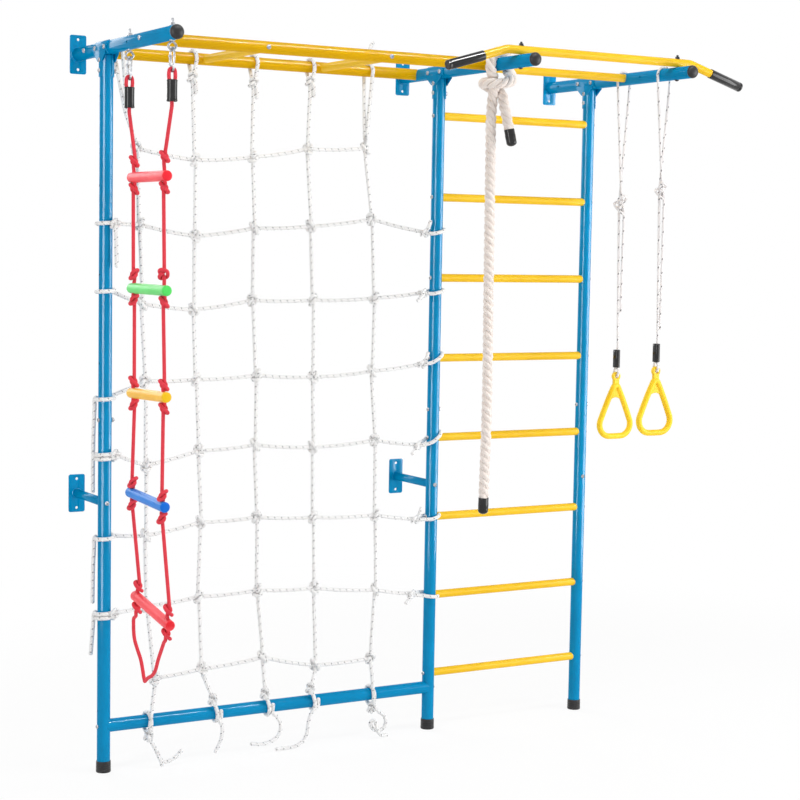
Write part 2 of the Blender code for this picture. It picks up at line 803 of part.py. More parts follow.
# Ties on the middle post: two in the open, as (height, tilt), and four that rest on ladder rungs
OPEN_TIES = ((1.575, 0.006), (1.388, 0.005))
SEATED_TIE_RUNGS = (5, 4, 3, 2)
SEATED_TIE_TILT = 0.018
POST_TAILS = (
    (0, (0.7, -0.7), ((-1.050, -0.032, 1.552), (-1.056, -0.028, 1.505), (-1.060, -0.030, 1.455))),
    (2, (-0.7, 0.7), ((-1.120, 0.028, 1.000), (-1.117, 0.027, 0.900), (-1.116, 0.025, 0.812))),
    (4, (-0.7, 0.7), ((-1.119, 0.028, 0.600), (-1.116, 0.026, 0.493))),
    (5, (-0.7, 0.7), ((-1.120, 0.027, 0.400), (-1.121, 0.024, 0.343))),
)
BAR_TAILS = (
    ((-0.964, -0.036, 0.085), (-0.948, -0.036, 0.040), (-0.905, -0.036, 0.013), (-0.862, -0.034, 0.042)),
    ((-0.772, -0.036, 0.112), (-0.766, -0.036, 0.080), (-0.753, -0.035, 0.027)),
    ((-0.541, -0.036, 0.075), (-0.580, -0.035, 0.048), (-0.632, -0.034, 0.036)),
    ((-0.440, -0.036, 0.085), (-0.456, -0.036, 0.045), (-0.490, -0.035, 0.015), (-0.551, -0.033, 0.012)),
    ((-0.190, -0.036, 0.085), (-0.171, -0.036, 0.058), (-0.226, -0.035, 0.044), (-0.172, -0.034, 0.014)),
)


def middle_ties():
    """Height and tilt of each tie on the middle post. A tilted tie is higher on its right side."""
    seat = RUNG_RADIUS + GAP + NET_ROPE_RADIUS - SEATED_TIE_TILT
    seated = [(RUNG_FIRST_Z + RUNG_PITCH * (rung - 1) + seat, SEATED_TIE_TILT) for rung in SEATED_TIE_RUNGS]
    return list(OPEN_TIES) + seated


def net_knot(row, column):
    sway_x, sway_z = NET_SWAY[row][column]
    x = POST_X["left"] + NET_COLUMNS[column] + sway_x / 1000
    z = NET_TOP_Z - NET_MESH * row + sway_z / 1000
    return Vector((x, NET_DEPTH[row], z))


def net_column(column):
    """Points and swellings down one upright of the net, which thickens at each knot."""
    rail_side = REAR_RAIL_Y - RAIL_RADIUS - GAP - NET_ROPE_RADIUS
    bar_side = POST_RADIUS + GAP + NET_ROPE_RADIUS
    top = Vector((POST_X["left"] + NET_RAIL_X[column], rail_side, RAIL_Z))
    foot = Vector((POST_X["left"] + NET_FOOT_X[column], -bar_side * 1.05, BOTTOM_BAR_Z))
    knots = [net_knot(row, column) for row in range(NET_ROWS)]
    points = [top]
    swell = [1.0]
    for i, knot in enumerate(knots):
        before = (knots[i - 1] if i else top) - knot
        after = (knots[i + 1] if i + 1 < NET_ROWS else foot) - knot
        thick = NET_KNOT_RADIUS / NET_ROPE_RADIUS
        points += [knot + before.normalized() * NET_KNOT_HALF, knot, knot + after.normalized() * NET_KNOT_HALF]
        swell += [1.0, thick, 1.0]
    points.append(foot)
    swell.append(1.0)
    return points, swell


def net_row(row):
    """Points along one cross cord of the net, sagging a little between its knots."""
    knots = [net_knot(row, column) for column in range(len(NET_COLUMNS))]
    if 0 < row < NET_ROWS - 1:
        around = POST_RADIUS + GAP + NET_ROPE_RADIUS
        first = Vector((POST_X["left"] + around, 0, LEFT_TIE_Z[row - 1]))
        height, tilt = middle_ties()[row - 1]
        last = Vector((POST_X["middle"] - around, 0, height - tilt))
        knots = [first] + knots + [last]
    points = [knots[0]]
    for here, there in zip(knots, knots[1:]):
        span = (there - here).length
        sag = Vector((0, 0, -NET_SAG * span))
        stops = (0.33, 0.67) if span > NET_LONG_SPAN else (0.5,)
        points += [here.lerp(there, stop) + sag for stop in stops]
        points.append(there)
    return points


def net_tails(around):
    """Centre lines of the loose ends that hang from the ties on the left post and the bottom bar."""
    left = POST_X["left"]
    routes = []
    for tie, (across, back), hang in POST_TAILS:
        start = Vector((left + around * across, around * back, LEFT_TIE_Z[tie]))
        routes.append(spline_points([start, *hang], TAIL_STEP))
    for x, hang in zip(NET_FOOT_X, BAR_TAILS):
        start = Vector((left + x, -around * 0.7, BOTTOM_BAR_Z - around * 0.7))
        routes.append(spline_points([start, *hang], TAIL_STEP))
    return routes


def make_net():
    pieces = []
    for column in range(len(NET_COLUMNS)):
        points, swell = net_column(column)
        pieces.append(rope("climbing_net" if not pieces else f"net_column_{column}", points, NET_ROPE_RADIUS, swell, sides=NET_SIDES))
    for row in range(NET_ROWS):
        pieces.append(rope(f"net_row_{row}", net_row(row), NET_ROPE_RADIUS, sides=NET_SIDES))
    around_post = POST_RADIUS + GAP + NET_ROPE_RADIUS * 1.04
    around_rail = RAIL_RADIUS + GAP + NET_ROPE_RADIUS * 1.04
    grow = 1 / cos(pi / LOOP_STEPS)
    loops = []
    for z in LEFT_TIE_Z:
        loops.append(((POST_X["left"], 0, z), around_post, (1, 0, 0), (0, 1, 0)))
    for z, tilt in middle_ties():
        loops.append(((POST_X["middle"], 0, z), around_post, (1, 0, tilt / around_post), (0, 1, 0)))
    for x in NET_RAIL_X:
        loops.append(((POST_X["left"] + x, REAR_RAIL_Y, RAIL_Z), around_rail, (0, 1, 0), (0, 0, 1)))
    for x in NET_FOOT_X:
        loops.append(((POST_X["left"] + x, 0, BOTTOM_BAR_Z), around_post, (0, 1, 0), (0, 0, 1)))
    for i, (centre, radius, across, up) in enumerate(loops):
        points = circle(centre, radius * grow, LOOP_STEPS, across, up)
        pieces.append(rope(f"net_loop_{i}", points, NET_ROPE_RADIUS, closed=True, sides=NET_SIDES))
    for i, points in enumerate(net_tails(around_post)):
        pieces.append(rope(f"net_tail_{i}", points, NET_ROPE_RADIUS * 0.98, sides=NET_SIDES))
    return merged("climbing_net", pieces, NET_CORD)


# Rope ladder

def eye_centre(y):
    return Vector((POST_X["left"], y, ARM_Z - POST_RADIUS - EYE_RADIUS - EYE_ROD - 0.001))


def hook_pivot_z():
    return eye_centre(0).z - EYE_RADIUS + EYE_ROD + HOOK_ROD + GAP


def make_eye_bolts():
    for name, y in zip(("rear", "front"), LADDER_HANG_Y):
        centre = eye_centre(y)
        ring = rope(f"eye_bolt_{name}", circle(centre, EYE_RADIUS, 12, (1, 0, 0), (0, 0, 1)), EYE_ROD, closed=True, sides=6)
        nut_z = ARM_Z + POST_RADIUS + GAP
        top = nut_z + EYE_NUT_HEIGHT + EYE_TAIL
        shank = rod(f"eye_bolt_{name}_shank", EYE_SHANK, centre + Vector((0, 0, EYE_RADIUS)), (POST_X["left"], y, top), 8)
        nut = rod(
            f"eye_bolt_{name}_nut",
            EYE_NUT_RADIUS,
            (POST_X["left"], y, nut_z),
            (POST_X["left"], y, nut_z + EYE_NUT_HEIGHT),
            6,
        )
        merged(f"eye_bolt_{name}", [ring, shank, nut], ZINC)


def make_hooks():
    """Each hook is a closed oval link, narrow at the bottom, with the sleeve of its gate."""
    top_z = hook_pivot_z()
    bottom_z = top_z - HOOK_LENGTH + 2 * HOOK_ROD
    wide = HOOK_WIDTH / 2 - HOOK_ROD
    narrow = HOOK_NECK / 2 - HOOK_ROD
    for name, y in zip(("rear", "front"), LADDER_HANG_Y):
        points = []
        for i in range(7):
            angle = pi * i / 6
            points.append((POST_X["left"], y - wide * cos(angle), top_z - wide + wide * sin(angle)))
        for i in range(5):
            angle = pi * i / 4
            points.append((POST_X["left"], y + narrow * cos(angle), bottom_z + narrow - narrow * sin(angle)))
        link = rope(f"snap_hook_{name}", points, HOOK_ROD, closed=True, sides=6)
        gate_top = Vector((POST_X["left"], y + wide, top_z - wide - 0.004))
        gate_foot = Vector((POST_X["left"], y + narrow, bottom_z + narrow + 0.006))
        gate = rod(f"snap_hook_{name}_gate", HOOK_ROD * 1.35, gate_foot, gate_top, 8)
        made = merged(f"snap_hook_{name}", [link, gate], ZINC)
        own_origin(made, (POST_X["left"], y, top_z))


def step_frame(place_):
    """Centre, direction along the rung to the front, and upward direction of one rope ladder rung."""
    y, z, dip = place_[1:4]
    angle = radians(dip)
    along = Vector((0, -cos(angle), -sin(angle)))
    up = Vector((0, -sin(angle), cos(angle)))
    return Vector((POST_X["left"], y, z)), along, up


def make_steps():
    spread = STEP_LENGTH / 2 - LADDER_ROPE_INSET
    for place_ in STEP_PLACES:
        name = place_[0]
        centre, along, up = step_frame(place_)
        half = STEP_LENGTH / 2
        edge = 0.002
        step = turned(
            name,
            [
                (0, half),
                (STEP_RADIUS - edge, half),
                (STEP_RADIUS, half - edge),
                (STEP_RADIUS, edge - half),
                (STEP_RADIUS - edge, -half),
                (0, -half),
            ],
            10,
            STEP_COLOURS[name],
            centre,
            along,
        )
        for end, offset in (("rear", -spread), ("front", spread)):
            spot = centre + along * offset
            reach = up * 2 * STEP_RADIUS
            cut(step, helper_rod(f"{name}_hole_{end}", LADDER_ROPE_RADIUS + 2 * GAP, spot - reach, spot + reach, 8))


def ladder_side(offset):
    """Points and swellings down one side of the rope ladder: a knot over and under each rung."""
    points = []
    swell = []
    thick = LADDER_KNOT_RADIUS / LADDER_ROPE_RADIUS
    below = STEP_RADIUS + GAP + LADDER_KNOT_HALF
    for place_ in STEP_PLACES:
        centre, along, up = step_frame(place_)
        spot = centre + along * offset
        rise = place_[5] if offset > 0 else place_[4]
        for height in (STEP_RADIUS + rise, -below):
            for shift, size in ((LADDER_KNOT_HALF, 1.0), (0.0, thick), (-LADDER_KNOT_HALF, 1.0)):
                points.append(spot + up * (height + shift))
                swell.append(size)
    return points, swell


def make_ladder_rope():
    x = POST_X["left"]
    spread = STEP_LENGTH / 2 - LADDER_ROPE_INSET
    sleeve_foot = SLEEVE_TOP_Z - SLEEVE_LENGTH
    points = []
    swell = []
    rear_points, rear_swell = ladder_side(-spread)
    front_points, front_swell = ladder_side(spread)
    points += [Vector((x, LADDER_HANG_Y[0], sleeve_foot + 0.010))] + rear_points
    swell += [1.0] + rear_swell
    tip = Vector((x, *LADDER_TIP))
    rear_end = rear_points[-1]
    front_end = front_points[-1]
    bend = [
        rear_end + Vector((0, 0.006, -0.045)),
        rear_end.lerp(tip, 0.5) + Vector((0, 0.012, 0.0)),
        tip + Vector((0, 0.016, 0.040)),
        tip + Vector((0, 0.008, 0.009)),
        tip,
        tip + Vector((0, -0.010, 0.010)),
        tip + Vector((0, -0.022, 0.042)),
        front_end.lerp(tip, 0.5) + Vector((0, -0.004, 0.0)),
        front_end + Vector((0, 0.002, -0.040)),
    ]
    points += bend
    swell += [1.0] * len(bend)
    points += front_points[::-1]
    swell += front_swell[::-1]
    points += [Vector((x, LADDER_HANG_Y[1], sleeve_foot + 0.010))]
    swell += [1.0]
    pieces = [rope("ladder_rope", points, LADDER_ROPE_RADIUS, swell, sides=6)]
    bar_z = hook_pivot_z() - HOOK_LENGTH + 2 * HOOK_ROD
    wrap = HOOK_ROD + GAP + LADDER_ROPE_RADIUS
    for i, y in enumerate(LADDER_HANG_Y):
        loop = [Vector((x - wrap, y, SLEEVE_TOP_Z - 0.010))]
        for k in range(9):
            angle = pi * k / 8
            grow = wrap / cos(pi / 16)
            loop.append(Vector((x - grow * cos(angle), y, bar_z + grow * sin(angle))))
        loop.append(Vector((x + wrap, y, SLEEVE_TOP_Z - 0.010)))
        pieces.append(rope(f"ladder_rope_loop_{i}", loop, LADDER_ROPE_RADIUS, sides=6))
        pieces.append(rod(f"ladder_rope_sleeve_{i}", SLEEVE_RADIUS, (x, y, sleeve_foot), (x, y, SLEEVE_TOP_Z), 12))
    made = merged("ladder_rope", pieces, RED_ROPE)
    own_origin(made, (x, LADDER_HANG_Y[0], hook_pivot_z()))


# Climbing rope

def on_arm(angle, along):
    """A point of the climbing rope's centre line where it bends round the middle arm.

    The angle is 0 on the right side, and grows over the top.
    """
    radius = POST_RADIUS + GAP + ROPE_RADIUS + ROPE_SLACK
    turn = radians(angle)
    return Vector((POST_X["middle"] + radius * cos(turn), ROPE_Y + along, ARM_Z + radius * sin(turn)))


def under_arm(places):
    return [Vector((POST_X["middle"] + across, ROPE_Y + along, ARM_Z - drop)) for across, along, drop in places]


def make_climbing_rope():
    x = POST_X["middle"]
    hang = [Vector((x, ROPE_Y, ROPE_END_Z))] + under_arm(ROPE_HANG)
    over = [on_arm(angle, along) for angle, along in ROPE_OVER]
    wrap = under_arm(ROPE_WRAP)
    tail = under_arm(ROPE_TAIL)
    main = spline_points(hang[:5], 0.085)[:-1] + spline_points(hang[4:] + over, ROPE_BEND_STEP)
    back = spline_points(over[-2:] + wrap, ROPE_BEND_STEP)[:-1] + spline_points(wrap[-1:] + tail, 0.030)
    # The wrap is a little wider, so that it takes in the end of the other piece
    pieces = [
        rope("climbing_rope", main, ROPE_RADIUS, sides=8),
        rope("climbing_rope_hitch", back, ROPE_RADIUS * ROPE_WRAP_WIDER, sides=8),
    ]
    made = merged("climbing_rope", pieces, COTTON)
    own_origin(made, (x, ROPE_Y, ARM_Z))
    for name, end, before in (("bottom", main[0], main[1]), ("tail", back[-1], back[-2])):
        out = (end - before).normalized()
        inside = (ROPE_RADIUS * ROPE_WRAP_WIDER + GAP) / cos(pi / ROPE_CAP_STEPS)
        outside = inside + ROPE_CAP_WALL
        length = ROPE_CAP_LENGTH
        cap = turned(
            f"rope_cap_{name}",
            [
                (0, length),
                (outside - 0.006, length),
                (outside, length - 0.006),
                (outside, 0),
                (inside, 0),
                (inside, length - 0.008),
                (0, length - 0.008),
                (0, length),
            ],
            ROPE_CAP_STEPS,
            BLACK_RUBBER,
            end - out * (length - 0.008 - GAP),
            out,
        )
        own = as_mesh(cap, BLACK_RUBBER)
        own_origin(own, (x, ROPE_Y, ARM_Z))


# Rings

def ring_outline(height, width, corner):
    """A rounded triangle, apex up, whose centre line has the size and starts at the apex."""
    half = width / 2
    apex = Vector((0, 0, 0))
    right = Vector((half, 0, -height))
    left = Vector((-half, 0, -height))
    points = []
    for here, before, after, radius in (
        (right, apex, left, corner),
        (left, right, apex, corner),
        (apex, left, right, 0.010),
    ):
        to_before = (before - here).normalized()
        to_after = (after - here).normalized()
        open_half = to_before.angle(to_after) / 2
        run = radius / tan(open_half)
        middle = here + (to_before + to_after).normalized() * (radius / sin(open_half))
        first = here + to_before * run - middle
        last = here + to_after * run - middle
        steps = 6 if radius == corner else 4
        for i in range(steps + 1):
            t = i / steps
            points.append(middle + (first * (1 - t) + last * t).normalized() * radius)
    return points


def make_rings():
    x = POST_X["right"]
    for name, (y, hole_z) in RING_PLACES.items():
        hole = Vector((x, y, hole_z))
        apex = hole + Vector((0, 0, -0.016))
        outline = [apex + point for point in ring_outline(RING_HEIGHT, RING_WIDTH - 2 * RING_TUBE_WIDE + 0.024, RING_CORNER)]
        frame_ = rope(f"ring_{name}", outline, RING_TUBE_WIDE, closed=True, sides=7)
        lug = rod(
            f"ring_{name}_lug",
            RING_LUG_RADIUS,
            hole + Vector((0, -RING_LUG_THICKNESS / 2, 0)),
            hole + Vector((0, RING_LUG_THICKNESS / 2, 0)),
            16,
        )
        neck = box(f"ring_{name}_neck", (0.020, RING_LUG_THICKNESS, 0.026), hole + Vector((0, 0, -0.014)), CUTTERS)
        half = RING_WIDTH / 2 * RING_WEB_DROP / RING_HEIGHT + 0.006
        web_outline = [(0, -0.010), (half, -RING_WEB_DROP - 0.012)]
        for i in range(7):
            angle = pi * i / 6
            web_outline.append((half * 0.80 * cos(angle), -RING_WEB_DROP - 0.012 + 0.022 * sin(angle)))
        web_outline.append((-half, -RING_WEB_DROP - 0.012))
        matrix = Matrix.Translation(apex) @ Matrix.Rotation(pi / 2, 4, "X")
        web = extruded(f"ring_{name}_web", web_outline, RING_WEB_THICKNESS, matrix)
        made = merged(f"ring_{name}", [frame_, lug, neck, web], RING_PLASTIC)
        bore_start = hole + Vector((0, -RING_LUG_THICKNESS, 0))
        bore_end = hole + Vector((0, RING_LUG_THICKNESS, 0))
        cut(made, helper_rod(f"ring_{name}_hole", RING_LUG_HOLE, bore_start, bore_end, 12))
        own_origin(made, hole)


def oval(half_long, half_short, steps=6):
    """Outline with straight sides and round ends, its long way along the second direction."""
    points = []
    for sign in (1, -1):
        for i in range(steps + 1):
            angle = pi * i / steps
            side = half_short * cos(angle) * sign
            end = half_long - half_short + half_short * sin(angle)
            points.append((side, end * sign))
    return points


def make_ring_ropes():
    x = POST_X["right"]
    beside = RING_ROPE_RADIUS + GAP
    for name, (y, hole_z) in RING_PLACES.items():
        knot_z = RING_KNOT_Z[name]
        tail_z = RING_TAIL_Z[name]
        sleeve_foot = hole_z + RING_SLEEVE_DROP
        sleeve_top = sleeve_foot + RING_SLEEVE_LENGTH
        radius = POST_RADIUS + GAP + RING_ROPE_RADIUS
        grow = radius / cos(pi / 20)
        loop = [Vector((x - 0.002, y + 0.004, knot_z))]
        loop += [Vector((x - grow * cos(pi * i / 10), y, ARM_Z + grow * sin(pi * i / 10))) for i in range(11)]
        loop += [Vector((x + 0.002, y - 0.004, knot_z))]
        lift = RING_LUG_THICKNESS / 2 + 2 * GAP + RING_ROPE_RADIUS
        through = [
            Vector((x, y - beside, sleeve_foot)),
            Vector((x, y - lift, hole_z + RING_LUG_RADIUS + GAP)),
            Vector((x, y - lift, hole_z + 0.005)),
            Vector((x, y - lift * 0.85, hole_z + 0.0012)),
        ]
        back = [Vector((x, 2 * y - point.y, point.z)) for point in reversed(through)]
        main = [
            Vector((x, y, knot_z + 0.012)),
            Vector((x - 0.002, y + 0.003, knot_z - 0.10)),
            Vector((x + 0.001, y + 0.004, (knot_z + sleeve_top) / 2)),
            Vector((x, y - beside, sleeve_top + 0.03)),
        ]
        main += through + back + [Vector((x, y + beside, sleeve_top - 0.006))]
        tail = [
            Vector((x, y, knot_z + 0.004)),
            Vector((x + 0.008, y - 0.006, knot_z - 0.03)),
            Vector((x + 0.0125, y - 0.006, (knot_z + tail_z) / 2)),
            Vector((x + 0.011, y - 0.004, tail_z)),
        ]
        thick = RING_KNOT_RADIUS[name] / RING_ROPE_RADIUS
        half = RING_KNOT_HALF[name]
        knot_points = [Vector((x, y, knot_z + height)) for height in (half, half * 0.5, -half * 0.5, -half)]
        cord = f"ring_rope_{name}"
        pieces = [
            rope(cord, loop, RING_ROPE_RADIUS, sides=6),
            rope(f"{cord}_main", main, RING_ROPE_RADIUS, sides=6),
            rope(f"{cord}_tail", tail, RING_ROPE_RADIUS, sides=6),
            rope(f"{cord}_knot", knot_points, RING_ROPE_RADIUS, [1.2, thick, thick, 1.2], sides=8),
        ]
        made = merged(cord, pieces, NET_CORD)
        own_origin(made, (x, y, ARM_Z))
        middle = Matrix.Translation((x, y, (sleeve_foot + sleeve_top) / 2))
        sleeve = extruded(f"ring_sleeve_{name}", oval(RING_SLEEVE_WIDTH / 2, RING_SLEEVE_DEPTH / 2), RING_SLEEVE_LENGTH, middle)
        bore = oval(2 * RING_ROPE_RADIUS + 2 * GAP, RING_ROPE_RADIUS + GAP)
        cut(sleeve, extruded(f"ring_sleeve_{name}_bore", bore, RING_SLEEVE_LENGTH * 1.2, middle))
        made = as_mesh(sleeve, BLACK_RUBBER)
        own_origin(made, (x, y, ARM_Z))


make_posts()
post_shapes = post_cutters()
make_arms()
make_brackets(post_shapes)
make_shells()
make_bars(post_shapes)
make_rails(arm_cutters())
make_pull_up_bar()
make_net()
make_eye_bolts()
make_hooks()
make_steps()
make_ladder_rope()
make_climbing_rope()
make_rings()
make_ring_ropes()
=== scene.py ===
"""Looks of a wall bars climbing frame with a net, rope ladder, climbing rope and rings.

Metres, +Z up. The origin is on the floor under the middle post. +X runs to the right along the
wall, +Y runs to the wall, and the user stands on the -Y side.
"""

import json
from math import acos, cos, degrees, pi, radians, sin, tan

import bmesh
import bpy
import numpy as np
from mathutils import Matrix, Vector

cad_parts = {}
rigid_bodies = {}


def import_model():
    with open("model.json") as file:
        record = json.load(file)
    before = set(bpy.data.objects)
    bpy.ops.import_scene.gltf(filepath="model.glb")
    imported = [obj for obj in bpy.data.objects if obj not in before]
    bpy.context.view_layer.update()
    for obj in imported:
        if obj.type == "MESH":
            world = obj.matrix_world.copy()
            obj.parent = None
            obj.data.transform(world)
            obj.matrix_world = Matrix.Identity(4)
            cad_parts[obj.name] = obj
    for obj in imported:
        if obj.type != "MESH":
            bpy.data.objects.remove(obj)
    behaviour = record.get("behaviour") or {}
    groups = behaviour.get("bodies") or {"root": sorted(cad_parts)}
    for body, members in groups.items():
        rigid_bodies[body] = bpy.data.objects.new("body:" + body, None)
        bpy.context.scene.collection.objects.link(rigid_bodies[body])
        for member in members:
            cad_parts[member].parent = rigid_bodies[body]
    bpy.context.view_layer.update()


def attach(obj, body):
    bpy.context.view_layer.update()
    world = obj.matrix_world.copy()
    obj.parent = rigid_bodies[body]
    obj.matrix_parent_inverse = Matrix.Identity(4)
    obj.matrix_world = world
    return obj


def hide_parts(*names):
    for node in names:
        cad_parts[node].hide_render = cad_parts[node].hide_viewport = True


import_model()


def metres(*points):
    """Points that are written in millimetres."""
    return tuple(tuple(number / 1000 for number in point) for point in points)


def at(x, y, z):
    return Vector((x, y, z))


GAP = 0.0003
TURN = 2 * pi
UP, DOWN, FRONT, BACK = (0, 0, 1), (0, 0, -1), (0, -1, 0), (0, 1, 0)
# Soft ridges that show round a cord
LAY_LOBES = 4

# Posts, arms and clamps
LEFT, MIDDLE, RIGHT = -1.090, 0.0, 0.570
POST_X = {"left": LEFT, "middle": MIDDLE, "right": RIGHT}
POST_RADIUS = 0.019
POST_WALL = 0.0015
SEAM_Z = 0.981
ARM_Z = 2.063
ARM_REACH = {"left": 0.492, "middle": 0.522, "right": 0.522}
# Places along each arm with an unused hole on its left side
ARM_HOLES = {"left": [-0.197], "middle": [], "right": [0.150, -0.291]}
HOLE_RADIUS = 0.0034
WALL_Y = 0.228
PLATE_SIZE = (0.050, 0.003, 0.112)
PLATE_HOLE_DROP = 0.043
BRACKET_Z = 0.782
SHELL_THICKNESS = 0.0025
SHELL_HALF = 0.050
SHELL_DROP = 0.080
SHELL_GUSSET = 0.020
SHELL_WRAP = radians(62)

# Bars
RUNG_RADIUS = 0.0125
RUNG_WALL = 0.0012
RUNG_Z = [0.180 + 0.250 * i for i in range(8)]
BOTTOM_BAR_Z = 0.134
RAIL_RADIUS = 0.0172
RAIL_Z = 2.065
REAR_RAIL_Y = 0.127
FRONT_RAIL_Y = -0.287
MONKEY_RUNG_X = (-0.735, -0.345)
LADDER_RAIL_Y = -0.207
PULL_UP_Y = -0.450
PULL_UP_Z = ARM_Z + POST_RADIUS + RUNG_RADIUS + GAP
PULL_UP_STRAIGHT = 0.048
PULL_UP_BEND = radians(16.5)
PULL_UP_BEND_RADIUS = 0.060
PULL_UP_END = 0.205
GRIP_RADIUS = 0.0145
GRIP_LENGTH = 0.126

# Rope ladder
LADDER_ROPE_RADIUS = 0.005
LADDER_HANG_Y = {"rear": -0.171, "front": -0.464}
STEP_RADIUS = 0.0143
STEP_LENGTH = 0.253
STEP_ROPE_Y = STEP_LENGTH / 2 - 0.0215
# Each rung's place along the arm, height, dip in degrees, and the rise of its two upper knots
STEP_PLACES = {
    "rope_ladder_rung_1": (-0.3135, 1.698, 0.3, 0.029, 0.036),
    "rope_ladder_rung_2": (-0.3165, 1.398, 0.1, 0.024, 0.029),
    "rope_ladder_rung_3": (-0.3195, 1.1145, -1.5, 0.017, 0.017),
    "rope_ladder_rung_4": (-0.3145, 0.8305, 2.6, 0.017, 0.016),
    "rope_ladder_rung_5": (-0.3555, 0.5345, 9.4, 0.017, 0.022),
}
# How each rung's four knots are turned: 1 away from the user, -1 to the user, 0 to the side
STEP_KNOT_TURNS = (
    (-1, -1, -1, -1), (1, 0, 1, -1), (-1, -1, 1, -1), (1, 1, 1, 1), (-1, -1, -1, -1),
)
# Places along the arm and heights, down to the rope's tip and up again
LADDER_BEND = metres(
    (-240.3, 500), (-224, 488), (-223, 472), (-231.4, 431.4), (-252, 408), (-277, 383.4),
    (-292, 356), (-301, 337), (-307, 330), (-313, 334), (-331, 345), (-356, 356),
    (-375.3, 370.7), (-398.1, 407.6), (-426.8, 448.6), (-437, 463),
)
SLEEVE_RADIUS = 0.0140
SLEEVE_TOP_Z = 1.943
SLEEVE_LENGTH = 0.055
EYE_RADIUS = 0.011
EYE_ROD = 0.003
EYE_Z = 2.029
HOOK_ROD = 0.003
HOOK_TOP_Z = 2.0243
HOOK_BOTTOM_Z = HOOK_TOP_Z - 0.060
HOOK_WIDE = 0.013
HOOK_NARROW = 0.00875

# Climbing rope: points (across, along the arm, below the arm) before and after the arm, and
# angles round the arm with places along it
ROPE_RADIUS = 0.0160
ROPE_Y = -0.300
ROPE_END_Z = 0.735
ROPE_HANG = metres(
    (2, -6, 1013), (0, -4, 613), (0, 0, 263), (0, 0, 133), (0.6, -5, 90), (-4.9, -20.3, 50),
)
ROPE_OVER = (
    (200, -0.044), (175, -0.048), (140, -0.046), (105, -0.042), (70, -0.038), (35, -0.035),
    (0, -0.033), (-20, -0.033),
)
ROPE_WRAP_AND_TAIL = metres(
    (38.4, -43.3, 40), (19, -59, 51), (-7.5, -60.5, 58), (-30.7, -44.6, 58), (-36.1, -18.3, 55),
    (-24.6, 7.4, 56), (0.9, 21.5, 62), (24.6, 6.5, 72), (26.8, -15.6, 90), (27.1, -25.1, 115),
    (31.8, -34.8, 155), (43.6, -46.3, 229.5),
)
STRAND_RADIUS = 0.0079
STRAND_OFFSET = 0.0082
STRAND_PITCH = 0.066
ROPE_CAP_LENGTH = 0.050

# Rings: place along the arm and height of the lug's hole, then the knot's height and looseness
# (1 is pulled tight), and the height of the cord's loose end
RING_PLACES = {"rear": (-0.185, 1.124), "front": (-0.388, 1.154)}
RING_KNOTS = {"rear": (1.668, 2.0, 1.330), "front": (1.708, 1.6, 1.285)}
RING_ROPE_RADIUS = 0.004
RING_SLEEVE_DROP = 0.028
RING_SLEEVE_LENGTH = 0.057
RING_SLEEVE_HALF = (0.013, 0.0085)
RING_HEIGHT = 0.176
RING_WIDTH = 0.158
RING_TUBE = 0.0095
RING_CORNER = 0.038
RING_LUG_RADIUS = 0.0145
RING_LUG_HOLE = 0.0068
RING_LUG_THICKNESS = 0.012

# Climbing net: its columns' places, and each knot's shift across and up in millimetres
NET_ROPE_RADIUS = 0.0060
NET_TOP_Z = 1.800
NET_MESH = 0.220
NET_COLUMNS = (0.130, 0.295, 0.485, 0.677, 0.885)
NET_DEPTH = (0.085, 0.050, 0.030, 0.020, 0.015, 0.010, 0.008, 0.004)
NET_SAG = 0.018
NET_SWAY = (
    ((-3, -6), (14, -33), (10, -17), (2, 15), (-6, 25)),
    ((-9, -5), (-1, -35), (1, -8), (-1, 2), (2, 28)),
    ((-7, -12), (-10, -29), (-10, -1), (-1, -1), (3, 6)),
    ((1, -14), (-6, -13), (-2, -4), (-3, -13), (-6, 1)),
    ((2, -38), (2, -2), (-5, 8), (-2, -6), (6, 7)),
    ((0, -22), (9, 7), (2, 11), (-1, 0), (7, -6)),
    ((5, -9), (3, 6), (4, 10), (4, 2), (11, -21)),
    ((28, -3), (14, 10), (23, 25), (10, -17), (-3, -14)),
)
NET_ROWS = len(NET_SWAY)
NET_RAIL_X = (0.086, 0.317, 0.515, 0.706, 0.909)
NET_FOOT_X = (0.134, 0.351, 0.522, 0.676, 0.878)
# How far below the rail each upright's knot hangs; the last one's loop reaches its first knot
NET_HITCH_DROP = (0.170, 0.056, 0.060, 0.044, None)
# Each left tie's height, and its knot's place beside the post's middle and behind it
LEFT_TIES = metres(
    (1573, 18, -24), (1384, 19, 24), (1079, 19, 24), (919, 23, -21), (680, 19, 24), (462, 23, -21),
)
# Each middle tie's height, tilt, and its knot's place beside the post; the last four rest on rungs
MIDDLE_TIES = (
    (1.575, 0.006, 0.044), (1.388, 0.005, 0.044), (RUNG_Z[4] + GAP, 0.015, 0.044),
    (RUNG_Z[3] + GAP, 0.018, 0.054), (RUNG_Z[2] + GAP, 0.006, 0.059), (RUNG_Z[1] + GAP, -0.004, 0.067),
)
# Rows whose left tie goes round the post twice
DOUBLE_TIES = (4, 6)
